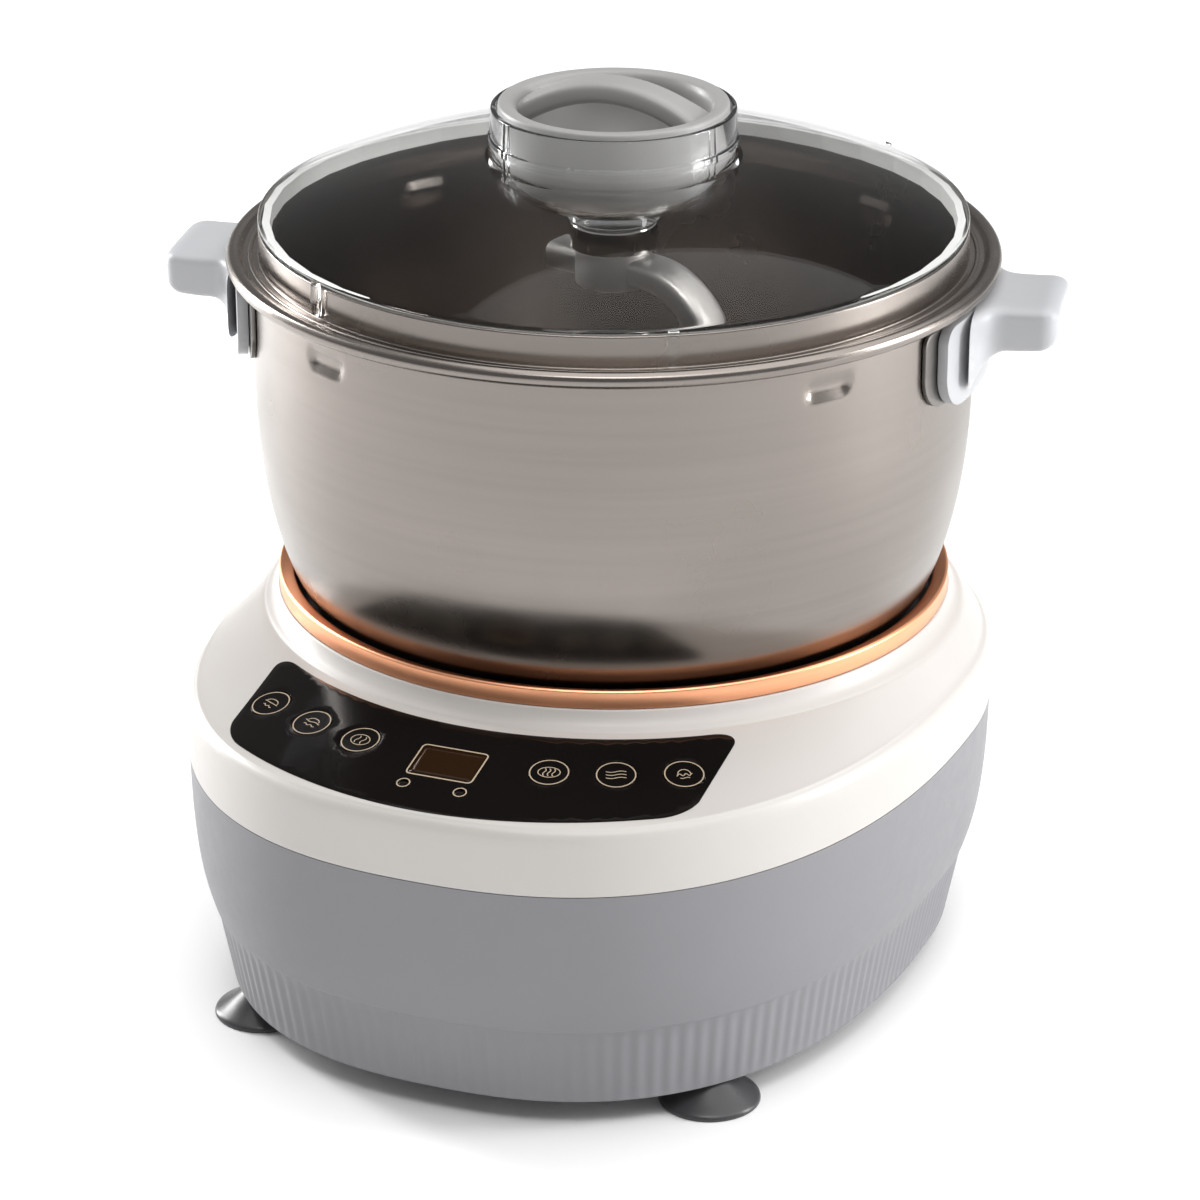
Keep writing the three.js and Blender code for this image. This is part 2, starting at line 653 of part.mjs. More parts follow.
// The dish under the bowl, with three pegs that keep the bowl from turning.
function heaterPan() {
  const floor = PAN_FLOOR + PAN_WALL;
  const dish = turned([
    [DOG_RADIUS + 4, PAN_FLOOR],
    [PAN_REACH - 4.5, PAN_FLOOR],
    [PAN_REACH, PAN_FLOOR + 4.8],
    [PAN_REACH, RING_SEAT - GAP],
    [PAN_REACH - 1.4, RING_SEAT - GAP],
    [PAN_REACH - 1.4, PAN_FLOOR + 5.4],
    [PAN_REACH - 5.2, floor],
    [DOG_RADIUS + 4, floor],
  ]);
  const keys = [0, 120, 240].map((turn) => {
    const [x, y] = polar(PEG_ORBIT, turn);
    return post(x, y, PEG_RADIUS, floor - 0.5, floor + PEG_HEIGHT, 12);
  });
  const sensorHole = post(0, SENSOR_Y, SENSOR_RADIUS + 0.5, PAN_FLOOR - 5, floor + 5);
  return cut(join(dish, ...keys), sensorHole);
}

function heatingElement() {
  const radius = 3;
  const level = PAN_FLOOR - GAP - radius;
  return turned(arcPoints(80, level, radius, radius, 0, 300, 5), 36);
}

function temperatureSensor() {
  const top = BOWL_BOTTOM - GAP;
  return turned([
    [0, PAN_FLOOR - 9],
    [SENSOR_RADIUS, PAN_FLOOR - 9],
    [SENSOR_RADIUS, top - 1],
    [SENSOR_RADIUS - 1, top],
    [0, top],
  ], 16).translate(0, SENSOR_Y, 0);
}

// ---------------------------------------------------------------- boards

const SUPPLY_LEVEL = FOOT_HEIGHT + 12;
const SUPPLY_Y = 83;
const SUPPLY_WIDTH = 70;
const SUPPLY_DEPTH = 42;
const STANDOFF_PLACES = [[-1, -1], [-1, 1], [1, -1], [1, 1]].map(([side, end]) => [
  side * (SUPPLY_WIDTH / 2 - 5),
  SUPPLY_Y + end * (SUPPLY_DEPTH / 2 - 5),
]);

// The supply board with its choke, its capacitor and a heat sink.
function powerBoard() {
  const [x, y] = [SUPPLY_WIDTH / 2, SUPPLY_DEPTH / 2];
  const top = SUPPLY_LEVEL + BOARD_SHEET;
  const sheet = block(-x, x, SUPPLY_Y - y, SUPPLY_Y + y, SUPPLY_LEVEL, top);
  const choke = block(-28, -10, SUPPLY_Y - 10, SUPPLY_Y + 8, top - 0.5, top + 14);
  const capacitor = post(4, SUPPLY_Y, 7, top - 0.5, top + 20);
  const sink = block(18, 30, SUPPLY_Y - 12, SUPPLY_Y + 12, top - 0.5, top + 16);
  return join(sheet, choke, capacitor, sink);
}

function controlBoard() {
  const outline = panelOutline(PANEL_INNER - 8, PANEL_OUTER - 5, PANEL_HALF_WIDTH - 6, 0);
  return prism(outline, BOARD_LEVEL - BOARD_SHEET, BOARD_LEVEL, 8);
}

// ---------------------------------------------------------------- control panel

// A strip between an arc round the drive axis and an arc struck from the panel's own centre,
// with straight sides and rounded corners; `grow` makes it larger all round.
function panelOutline(inner, outer, halfWidth, grow) {
  const [near, far, half] = [inner - grow, outer + grow, halfWidth + grow];
  const nearY = -Math.sqrt(near ** 2 - half ** 2);
  const farY = -PANEL_CENTRE - Math.sqrt(far ** 2 - half ** 2);
  const nearTurn = Math.asin(half / near) - PANEL_CORNER / near;
  const farTurn = Math.asin(half / far) - PANEL_CORNER / far;
  const front = -Math.PI / 2;
  const farEnd = [far * Math.sin(farTurn), -PANEL_CENTRE - far * Math.cos(farTurn)];
  const nearEnd = [near * Math.sin(nearTurn), -near * Math.cos(nearTurn)];
  const shape = new THREE.Shape();
  shape.absarc(0, 0, near, front + nearTurn, front - nearTurn, true);
  shape.quadraticCurveTo(-half, nearY, -half, nearY - PANEL_CORNER);
  shape.lineTo(-half, farY + PANEL_CORNER);
  shape.quadraticCurveTo(-half, farY, -farEnd[0], farEnd[1]);
  shape.absarc(0, -PANEL_CENTRE, far, front - farTurn, front + farTurn, false);
  shape.quadraticCurveTo(half, farY, half, farY + PANEL_CORNER);
  shape.lineTo(half, nearY - PANEL_CORNER);
  shape.quadraticCurveTo(half, nearY, ...nearEnd);
  return shape;
}

// The layer of the sloping top that the panel, the display and the lamps are cut from.
function topLayer() {
  const layer = turned([
    [FLARE_RADIUS, SLOPE_TOP],
    [SHOULDER_RADIUS, SLOPE_FOOT],
    [SHOULDER_RADIUS, SLOPE_FOOT - PANEL_THICKNESS],
    [FLARE_RADIUS, SLOPE_TOP - PANEL_THICKNESS],
  ]);
  return solid(followOutline(layer, FLARE_RADIUS, SHOULDER_RADIUS));
}

function displayOutline(grow) {
  const y = -KEY_ORBIT - 1.5;
  return roundedRectangle(0, y, DISPLAY_WIDTH + 2 * grow, DISPLAY_LENGTH + 2 * grow, 1.6);
}

const LAMP_PLACES = [-LAMP_ANGLE, LAMP_ANGLE].map((degrees) => {
  return polar(PANEL_INNER + LAMP_SETBACK, degrees);
});

// Where a key sits on the slope, and the slope's upward normal there.
function keySeat(degrees) {
  const [x, y] = polar(KEY_ORBIT, degrees);
  const fall = slopeHeight(KEY_ORBIT, degrees) - slopeHeight(KEY_ORBIT + 1, degrees);
  const [ahead, aside] = polar(fall, degrees);
  const place = new THREE.Vector3(x, y, slopeHeight(KEY_ORBIT, degrees));
  return { place, normal: new THREE.Vector3(ahead, aside, 1).normalize() };
}

const UP = new THREE.Vector3(0, 0, 1);

function keyHole(degrees) {
  const { place, normal } = keySeat(degrees);
  const turn = new THREE.Quaternion().setFromUnitVectors(UP, normal);
  const hole = ring(0, KEY_RADIUS + GAP, -PANEL_THICKNESS * 2, PANEL_THICKNESS);
  return hole.applyQuaternion(turn).translate(place.x, place.y, place.z);
}

function controlFascia() {
  const outline = panelOutline(PANEL_INNER, PANEL_OUTER, PANEL_HALF_WIDTH, 0);
  const sheet = topLayer().intersect(solid(prism(outline, SEAM, RIM, 12)));
  const windowHole = prism(displayOutline(GAP), SEAM, RIM, 3);
  const lampHoles = LAMP_PLACES.map(([x, y]) => post(x, y, LAMP_RADIUS + GAP, SEAM, RIM, 12));
  return cut(sheet, windowHole, ...lampHoles, ...KEY_ANGLES.map(keyHole));
}

function displayWindow() {
  return topLayer().intersect(solid(prism(displayOutline(0), SEAM, RIM, 3)));
}

function lamp([x, y]) {
  return topLayer().intersect(solid(post(x, y, LAMP_RADIUS, SEAM, RIM, 12)));
}

// A round key, turned so that its face lies in the slope.
function addKey(index) {
  const { place, normal } = keySeat(KEY_ANGLES[index]);
  const body = turned([[0, -KEY_DEPTH], [KEY_RADIUS, -KEY_DEPTH], [KEY_RADIUS, 0], [0, 0]], SMALL_AROUND);
  const mesh = add(`key_${index + 1}`, body, BLACK_GLOSS);
  mesh.quaternion.setFromUnitVectors(UP, normal);
  mesh.position.copy(place);
}

// ---------------------------------------------------------------- bowl

// Outer radius of the bowl at a height: a quarter ellipse below, straight above.
function bowlRadiusAt(height) {
  const drop = THREE.MathUtils.clamp((BOWL_BOTTOM + HEEL_HEIGHT - height) / HEEL_HEIGHT, 0, 1);
  return BOWL_RADIUS - HEEL_INSET + HEEL_INSET * Math.sqrt(1 - drop ** 2);
}

function bowl() {
  const flat = BOWL_RADIUS - HEEL_INSET;
  const heelTop = BOWL_BOTTOM + HEEL_HEIGHT;
  const inward = HEEL_INSET - BOWL_WALL;
  const rollRadius = BOWL_RADIUS + RIM_OVERHANG;
  return turned([
    [BEARING_HOLE, BOWL_BOTTOM],
    ...arcPoints(flat, heelTop, HEEL_INSET, HEEL_HEIGHT, -90, 0, 7),
    [BOWL_RADIUS, RIM - RIM_ROLL - 1.8],
    [rollRadius - RIM_ROLL, RIM - RIM_ROLL],
    ...arcPoints(rollRadius, RIM, RIM_ROLL, RIM_ROLL, -60, 150, 4),
    [BAND_RADIUS, RIM + 0.6],
    [BAND_RADIUS, BAND_TOP - 0.5],
    [BAND_RADIUS - 0.5, BAND_TOP],
    [BAND_RADIUS - BAND_WALL, BAND_TOP],
    [BAND_RADIUS - BAND_WALL, RIM + 1],
    [BOWL_RADIUS - BOWL_WALL, RIM - RIM_ROLL - 1.8],
    ...arcPoints(flat, heelTop, inward, HEEL_HEIGHT - BOWL_WALL, 0, -90, 7),
    [BEARING_HOLE, BOWL_FLOOR],
  ]);
}

// The ring the bowl stands on, notched over the pegs of the warming plate.
function bowlFootRing() {
  const bottom = PAN_FLOOR + PAN_WALL + GAP;
  const hoop = ring(PEG_ORBIT - 5, PEG_ORBIT + 5, bottom, BOWL_BOTTOM - GAP, 32);
  const notch = PEG_RADIUS + 1;
  const notches = [0, 120, 240].map((turn) => {
    const slot = block(-notch, notch, -PEG_ORBIT - 10, -PEG_ORBIT + 10, bottom - 1, bottom + PEG_HEIGHT);
    return slot.rotateZ(THREE.MathUtils.degToRad(turn));
  });
  return cut(hoop, ...notches);
}

// A stretch of a ring round the bowl with a rounded outline seen from outside.
function wrappedPlate(inner, thickness, width, bottom, top, corner) {
  const hoop = solid(ring(inner, inner + thickness, bottom - 1, top + 1, AROUND));
  const outline = roundedRectangle(0, (bottom + top) / 2, width, top - bottom, corner);
  const window = prism(outline, 0, inner + 50, 4).rotateX(Math.PI / 2).rotateZ(Math.PI / 2);
  return hoop.intersect(solid(window));
}

const SADDLE_TOP = RIM - RIM_ROLL - 2.8;
const BRACKET_INNER = BOWL_RADIUS + GAP;
const SADDLE_INNER = BRACKET_INNER + BRACKET_THICKNESS + GAP;

// Both grips are made pointing along +X and then turned into place.
const toSide = (shape, side) => asSolid(shape).rotate([0, 0, GRIP_ANGLE + side]);

function gripBracket(side) {
  const bottom = SADDLE_TOP - SADDLE_HEIGHT + 1;
  const width = SADDLE_WIDTH + 2 * BRACKET_MARGIN;
  const plate = wrappedPlate(BRACKET_INNER, BRACKET_THICKNESS, width, bottom, SADDLE_TOP - 1, SADDLE_CORNER);
  return toSide(plate, side);
}

function grip(side) {
  const top = RIM - GRIP_DROP;
  const root = SADDLE_INNER + 0.4;
  const tip = BOWL_RADIUS + GRIP_REACH;
  const under = top - GRIP_THICKNESS;
  const foot = SADDLE_TOP - SADDLE_HEIGHT + 4;
  const profile = new THREE.Shape();
  profile.moveTo(root, top);
  profile.lineTo(tip - 3, top);
  profile.quadraticCurveTo(tip, top, tip, top - 4);
  profile.quadraticCurveTo(tip - 1, under, tip - 10, under);
  profile.lineTo(root + 15, under);
  profile.quadraticCurveTo(root + 8, under, root + 6.5, foot);
  profile.lineTo(root, foot);
  const handle = new THREE.ExtrudeGeometry(profile, {
    depth: GRIP_WIDTH - 2 * GRIP_ROUNDING,
    bevelThickness: GRIP_ROUNDING,
    bevelSize: GRIP_ROUNDING,
    bevelOffset: -GRIP_ROUNDING,
    bevelSegments: 2,
    curveSegments: 4,
  });
  handle.rotateX(Math.PI / 2).translate(0, GRIP_WIDTH / 2 - GRIP_ROUNDING, 0);
  const bottom = SADDLE_TOP - SADDLE_HEIGHT;
  const saddle = wrappedPlate(
    SADDLE_INNER, SADDLE_THICKNESS, SADDLE_WIDTH, bottom, SADDLE_TOP, SADDLE_CORNER,
  );
  return toSide(join(handle, saddle), side);
}

// ---------------------------------------------------------------- spindle and hook

const BUSH_TOP = BOWL_FLOOR + 12;

function spindleBearing() {
  const [bore, outer] = [SPINDLE_RADIUS + GAP, BEARING_HOLE - GAP];
  return turned([
    [bore, DRIVEN_DOG_TOP + 1],
    [outer, DRIVEN_DOG_TOP + 1],
    [outer, BOWL_FLOOR + GAP],
    [outer + 4, BOWL_FLOOR + GAP],
    [outer + 4, BOWL_FLOOR + 2.5],
    [outer - 1, BUSH_TOP],
    [bore, BUSH_TOP],
  ], SMALL_AROUND);
}

function spindleSeal() {
  const [bottom, top] = [BUSH_TOP + GAP, BUSH_TOP + 2.5];
  return ring(SPINDLE_RADIUS + GAP, SPINDLE_RADIUS + 5, bottom, top);
}

function spindle() {
  return post(0, 0, SPINDLE_RADIUS, DRIVE_DOG_TOP + 1, BOWL_FLOOR + SPINDLE_ABOVE_FLOOR);
}

// The cast hook: a claw that swings out from the upper boss and returns to the spindle.
function doughHook() {
  const low = BUSH_TOP + 3;
  const high = HUB_BOTTOM - GAP;
  const armLevel = high - 6.5;
  const [ahead, aside] = heading(HOOK_ANGLE);
  const claw = [
    [0, armLevel],
    [HOOK_REACH * 0.45, armLevel - 1],
    [HOOK_REACH * 0.76, armLevel - 12],
    [HOOK_REACH * 0.97, armLevel - 34],
    [HOOK_REACH * 0.95, armLevel - 58],
    [HOOK_REACH * 0.66, low + 17],
    [HOOK_REACH * 0.3, low + 10],
    [0, low + 8],
  ].map(([out, height]) => new THREE.Vector3(out * ahead, out * aside, height));
  const section = new THREE.Shape();
  section.absellipse(0, 0, HOOK_THICKNESS / 2, HOOK_WIDTH / 2, 0, 2 * Math.PI);
  const arm = new THREE.ExtrudeGeometry(section, {
    extrudePath: new THREE.CatmullRomCurve3(claw),
    steps: 18,
    curveSegments: 10,
  });
  const upperBoss = ring(0, HUB_RADIUS - 1.7, high - 12.5, high);
  const lowerBoss = ring(0, 11, low, BOWL_FLOOR + SPINDLE_ABOVE_FLOOR + 6);
  const stub = block(-HOOK_WIDTH / 2, HOOK_WIDTH / 2, 0, 23, armLevel - 4.5, armLevel + 4.5)
    .rotateZ(THREE.MathUtils.degToRad(HOOK_ANGLE));
  const socket = post(0, 0, SPINDLE_RADIUS + GAP, low - 1, BOWL_FLOOR + SPINDLE_ABOVE_FLOOR + GAP);
  return cut(join(upperBoss, lowerBoss, stub, arm), socket);
}

function hookHub() {
  return turned([
    [0, HUB_BOTTOM],
    [HUB_RADIUS, HUB_BOTTOM],
    [HUB_RADIUS, HUB_TOP - 0.8],
    [HUB_RADIUS - 0.8, HUB_TOP],
    [0, HUB_TOP],
  ], 32);
}

// ---------------------------------------------------------------- lid and cap

// Height of the dome's outer face: flat at the collar and steeper towards the edge.
function domeHeight(radius) {
  const share = (radius - COLLAR_RADIUS) / (BAND_RADIUS - COLLAR_RADIUS);
  return THREE.MathUtils.lerp(DOME_TOP, BAND_TOP + GAP + LID_WALL, share ** 1.7);
}

// The clear lid: a well for the cap, a collar, a low dome whose edge rests on the bowl's band,
// and a sleeve over the hub. Four lugs hang over the band.
function lid() {
  const edge = BAND_RADIUS;
  const dome = [0, 0.35, 0.7].map((share) => THREE.MathUtils.lerp(COLLAR_RADIUS, edge, share));
  const roundAcross = COLLAR_BORE - WELL_FLOOR_RADIUS;
  const under = arcPoints(
    WELL_FLOOR_RADIUS, WELL_EDGE, roundAcross + LID_WALL, WELL_ROUNDING + LID_WALL, -25, -90, 3,
  );
  const sleeveTop = WELL_FLOOR - LID_WALL;
  const sleeveBottom = HUB_TOP + 0.6;
  const shell = turned([
    [0, WELL_FLOOR],
    ...arcPoints(WELL_FLOOR_RADIUS, WELL_EDGE, roundAcross, WELL_ROUNDING, -90, 0, 4),
    [COLLAR_BORE, COLLAR_TOP],
    [COLLAR_RADIUS, COLLAR_TOP],
    [COLLAR_RADIUS, DOME_TOP + 8],
    [COLLAR_RADIUS + 0.7, DOME_TOP + 7.4],
    [COLLAR_RADIUS + 0.7, DOME_TOP + 5.6],
    [COLLAR_RADIUS, DOME_TOP + 5],
    ...dome.map((radius) => [radius, domeHeight(radius)]),
    [edge, BAND_TOP + GAP + LID_WALL],
    [edge, BAND_TOP + GAP],
    ...dome.slice(1).reverse().map((radius) => [radius, domeHeight(radius) - LID_WALL]),
    [COLLAR_RADIUS + LID_WALL, domeHeight(COLLAR_RADIUS + LID_WALL) - LID_WALL],
    ...under,
    [SLEEVE_RADIUS, sleeveTop],
    [SLEEVE_RADIUS, sleeveBottom],
    [SLEEVE_RADIUS - LID_WALL, sleeveBottom],
    [SLEEVE_RADIUS - LID_WALL, sleeveTop],
    [0, sleeveTop],
  ]);
  return join(shell, ...[LUG_ANGLE, -LUG_ANGLE, 180 - LUG_ANGLE, 180 + LUG_ANGLE].map(lug));
}

// A small hook of clear plastic over the band, in a direction in degrees.
function lug(degrees) {
  const half = LUG_WIDTH / 2;
  const inner = BAND_RADIUS + GAP;
  const outer = inner + LUG_THICKNESS;
  const top = BAND_TOP + GAP + LID_WALL;
  const drop = block(-half, half, -outer, -inner, RIM + 2.2, top);
  const bridge = block(-half, half, -outer, -BAND_RADIUS + 3, BAND_TOP + GAP, top);
  return join(drop, bridge).rotate([0, 0, degrees]);
}

// A soft ring under the lid's edge, inside the band.
function lidSeal() {
  const outer = BAND_RADIUS - BAND_WALL - GAP;
  return ring(outer - 2.4, outer, BAND_TOP - 5, BAND_TOP + GAP, AROUND);
}

// The grey cap: a cup that sits in the lid's well, with an arched strap across its mouth.
function cap() {
  const outer = COLLAR_BORE - CAP_PLAY;
  const bottom = WELL_FLOOR + CAP_PLAY;
  const across = outer - WELL_FLOOR_RADIUS;
  const rise = WELL_EDGE - bottom;
  const cup = turned([
    [0, bottom],
    ...arcPoints(WELL_FLOOR_RADIUS, WELL_EDGE, across, rise, -90, 0, 4),
    [outer, CAP_TOP - 1.2],
    [outer - 1.2, CAP_TOP],
    [CAP_RECESS + 1, CAP_TOP],
    [CAP_RECESS, CAP_TOP - 1],
    [CAP_RECESS, WELL_EDGE + 1],
    [CAP_RECESS - 4, bottom + CAP_WALL + 5.7],
    [CAP_RECESS - 14, bottom + CAP_WALL + 1.2],
    [0, bottom + CAP_WALL],
  ], 36);
  return join(cup, strap());
}

function strap() {
  const end = CAP_RECESS + 0.6;
  const endTop = CAP_TOP - 3.5;
  const crown = CAP_TOP + STRAP_RISE;
  const outline = new THREE.Shape();
  outline.moveTo(-end, endTop);
  outline.quadraticCurveTo(0, 2 * crown - endTop, end, endTop);
  outline.lineTo(end, endTop - STRAP_THICKNESS);
  outline.quadraticCurveTo(0, 2 * crown - endTop - STRAP_THICKNESS, -end, endTop - STRAP_THICKNESS);
  const rounding = 1.6;
  const arch = new THREE.ExtrudeGeometry(outline, {
    depth: STRAP_WIDTH - 2 * rounding,
    bevelThickness: rounding,
    bevelSize: rounding,
    bevelOffset: -rounding,
    bevelSegments: 1,
    curveSegments: 8,
  });
  return arch.rotateX(Math.PI / 2).translate(0, STRAP_WIDTH / 2 - rounding, 0);
}

// ---------------------------------------------------------------- the machine

add('base_plate', basePlate(), GREY_SHELL);
add('lower_housing', lowerHousing(), GREY_SHELL);
add('upper_housing', upperHousing(), WHITE_SHELL);
add('trim_ring', trimRing(), COPPER);
add('cord_gland', cordGland(), DARK_PLASTIC);
Object.keys(FOOT_ANGLES).forEach((place, i) => add(`foot_${place}`, foot(FOOT_PLACES[i]), FOOT_RUBBER));
LEG_PLACES.forEach((place, i) => add(`base_screw_${i + 1}`, screw(place), PLAIN_METAL));

add('chassis_plate', chassisPlate(), PLAIN_METAL);
add('bearing_housing', bearingHousing(), CAST);
add('lower_bearing', bearing(LOWER_BEARING), POLISHED);
add('upper_bearing', bearing(UPPER_BEARING), POLISHED);
add('motor_stator', motorStator(), PLAIN_METAL);
add('drive_belt', driveBelt(), BELT_RUBBER);
add('rotor_core', rotorCore(), BRONZE);
add('motor_shaft', motorShaft(), POLISHED);
add('small_pulley', atMotor(pulley(SMALL_PULLEY, MOTOR_SHAFT_RADIUS, SMALL_AROUND)), DARK_PLASTIC);
add('cooling_fan', coolingFan(), DARK_PLASTIC);
add('output_shaft', outputShaft(), POLISHED);
add('large_pulley', pulley(LARGE_PULLEY, SHAFT_RADIUS, 32), DARK_PLASTIC);
add('drive_dog', driveDog(), DARK_PLASTIC);

add('heater_pan', heaterPan(), PLAIN_METAL);
add('heating_element', heatingElement(), BRONZE);
add('temperature_sensor', temperatureSensor(), PLAIN_METAL);
add('power_board', powerBoard(), BOARD_GREEN);
add('control_board', controlBoard(), BOARD_GREEN);

add('control_fascia', controlFascia(), BLACK_GLOSS);
add('display_window', displayWindow(), DARK_AMBER);
add('lamp_left', lamp(LAMP_PLACES[0]), BLACK_GLOSS);
add('lamp_right', lamp(LAMP_PLACES[1]), BLACK_GLOSS);
KEY_ANGLES.forEach((_, index) => addKey(index));

add('bowl', bowl(), STEEL);
add('bowl_foot_ring', bowlFootRing(), STEEL);
add('grip_bracket_right', gripBracket(0), STEEL);
add('grip_bracket_left', gripBracket(180), STEEL);
add('grip_right', grip(0), PALE_GREY);
add('grip_left', grip(180), PALE_GREY);
add('spindle_bearing', spindleBearing(), BRONZE);
add('spindle_seal', spindleSeal(), SILICONE);
add('spindle', spindle(), POLISHED);
add('driven_dog', drivenDog(), DARK_PLASTIC);
add('dough_hook', doughHook(), CAST);
add('hook_hub', hookHub(), POLISHED);
add('lid', lid(), CLEAR);
add('lid_seal', lidSeal(), SILICONE);
add('cap', cap(), CAP_GREY);

export default group;
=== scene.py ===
"""Visual pieces, finishes, lights and camera for a countertop dough maker.

Shapes are worked out in millimetres round the drive axis and are put into the meshes in metres,
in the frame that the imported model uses. Headings are degrees from the machine's front (-Y)
towards its right (+X).
"""

import json
import math

import bmesh
import bpy
import numpy as np
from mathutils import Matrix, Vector
from mathutils.geometry import delaunay_2d_cdt


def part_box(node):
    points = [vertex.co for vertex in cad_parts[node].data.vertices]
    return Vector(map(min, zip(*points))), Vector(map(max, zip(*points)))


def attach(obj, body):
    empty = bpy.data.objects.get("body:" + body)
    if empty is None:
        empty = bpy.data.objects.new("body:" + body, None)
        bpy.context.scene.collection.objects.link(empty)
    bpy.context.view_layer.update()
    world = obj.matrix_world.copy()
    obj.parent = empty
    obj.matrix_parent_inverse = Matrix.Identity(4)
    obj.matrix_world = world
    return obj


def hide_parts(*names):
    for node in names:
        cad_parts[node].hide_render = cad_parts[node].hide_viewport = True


bl_info = {
    "name": "Dough Maker",
    "version": (1, 0, 0),
    "blender": (4, 5, 0),
    "location": "3D View > Sidebar > Dough Maker",
    "description": "Detailed pieces and finishes for a countertop dough maker",
    "category": "Object",
}

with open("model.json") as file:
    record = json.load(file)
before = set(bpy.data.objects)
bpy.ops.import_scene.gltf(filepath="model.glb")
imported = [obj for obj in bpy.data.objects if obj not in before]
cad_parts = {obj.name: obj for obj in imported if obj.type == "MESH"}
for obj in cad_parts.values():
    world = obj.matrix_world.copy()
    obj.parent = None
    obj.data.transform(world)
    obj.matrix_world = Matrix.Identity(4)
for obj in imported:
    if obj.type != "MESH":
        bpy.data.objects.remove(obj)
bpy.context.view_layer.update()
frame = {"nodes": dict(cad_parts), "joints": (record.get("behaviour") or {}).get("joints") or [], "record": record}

MM = 0.001
SLOT_OF_NODE = {part["node"]: part["material_slot"] for part in frame["record"]["subparts"]}
BODY_OF_NODE = {
    node: body
    for body, nodes in frame["record"]["behaviour"]["bodies"].items()
    for node in nodes
}


def box_of(node):
    """Lowest and highest corner of a node in millimetres, counted from the drive axis."""
    low, high = (np.array(corner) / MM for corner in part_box(node))
    return low - AXIS, high - AXIS


def middle_of(node):
    """Middle of a node's box in millimetres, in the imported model's frame."""
    low, high = (np.array(corner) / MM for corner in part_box(node))
    return (low + high) / 2


AXIS = middle_of("trim_ring") * np.array([1, 1, 0])

# ---------------------------------------------------------------- sizes
# In millimetres round the drive axis. They come from the boxes of the CAD pieces where those
# show them, and follow the CAD model's own sizes elsewhere.

JOINT_GAP = 0.3  # between two pieces where one rests on the other
HALF_SEAM = 0.15  # half the gap between the two housings

FLOOR_GAP = box_of("lower_housing")[0][2]  # height of the body's bottom edge
SEAM = (box_of("lower_housing")[1][2] + box_of("upper_housing")[0][2]) / 2
SIDE_REACH = box_of("upper_housing")[1][0]
FRONT_REACH = -box_of("upper_housing")[0][1]
BOTTOM_REACH = SIDE_REACH - 12.7
RIB_TOP = FLOOR_GAP + 28.5
WALL = 2.6
OUTLINE_POWER = 2.38

RING_OUTER = box_of("trim_ring")[1][0]
RING_INNER = RING_OUTER - 5.2
RING_BOTTOM, RING_TOP = box_of("trim_ring")[0][2], box_of("trim_ring")[1][2]
RING_SEAT = RING_BOTTOM - JOINT_GAP
HOUSING_BORE = RING_INNER + 1.9
FLARE_RADIUS = RING_OUTER + 5.3
SHOULDER_RADIUS = SIDE_REACH - 3.4
CREASE = SEAM + 16.5
SLOPE_FOOT = CREASE + 6
SLOPE_TOP = SLOPE_FOOT + 10.7

PANEL_INNER = RING_OUTER + 8.7
PANEL_OUTER = SIDE_REACH - 1
PANEL_CENTRE = FRONT_REACH - 4.5 - PANEL_OUTER
PANEL_HALF_WIDTH = 82
PANEL_CORNER = 8
PANEL_PROUD = 0.25  # how far the panel and the keys stand above the sloping top
PANEL_SINK = 3.2  # how deep the top is sunk under the panel
SINK_START, SINK_FULL = 2.6, 3.6  # how far inside the panel's edge the sinking starts and is full
PRINT_LIFT = 0.04  # how far printed lines stand off the panel
KEY_RADIUS = 6.7
KEY_DEPTH = 3.8
KEY_ORBIT = PANEL_INNER + 18
KEY_HEADINGS = (-30.9, -22.1, -13.45, 13.45, 22.1, 30.9)
DISPLAY_SIZE = (22.4, 15)
DISPLAY_Y = -KEY_ORBIT - 1.5
LAMP_ORBIT = PANEL_INNER + 32.5
LAMP_HEADINGS = (-3.6, 3.6)
LAMP_RADIUS = 1.7

BOWL_BOTTOM = box_of("bowl")[0][2]
BAND_TOP = box_of("bowl")[1][2]
BOWL_RADIUS = 121.5
BOWL_WALL = 1.2
HEEL_INSET = 27
HEEL_HEIGHT = 83
RIM = BAND_TOP - 11.4
RIM_ROLL = 2.7
ROLL_RADIUS = BOWL_RADIUS + 5.8
BAND_RADIUS = BOWL_RADIUS - 2.5
BAND_WALL = 1.6
BEARING_HOLE = 14
DIMPLE_HEADINGS = tuple(side + turn for side in (14, 194) for turn in (-42, 42))
DIMPLE_LEVEL = RIM - 12.3
DIMPLE_LENGTH = 19
DIMPLE_HEIGHT = 7.4

GRIP_TURN = 10.5
GRIP_TIP = BOWL_RADIUS + 30.3
GRIP_TOP = RIM - 5
GRIP_THICKNESS = 16.5
GRIP_HALF_WIDTH = 20.5
SADDLE_TOP = RIM - RIM_ROLL - 2.8
SADDLE_BOTTOM = SADDLE_TOP - 29
SADDLE_HALF_WIDTH = 45
SADDLE_INNER = BOWL_RADIUS + 1.9
SADDLE_THICKNESS = 3.6
BRACKET_OUTER = BOWL_RADIUS + 1.6
BRACKET_THICKNESS = 1.3

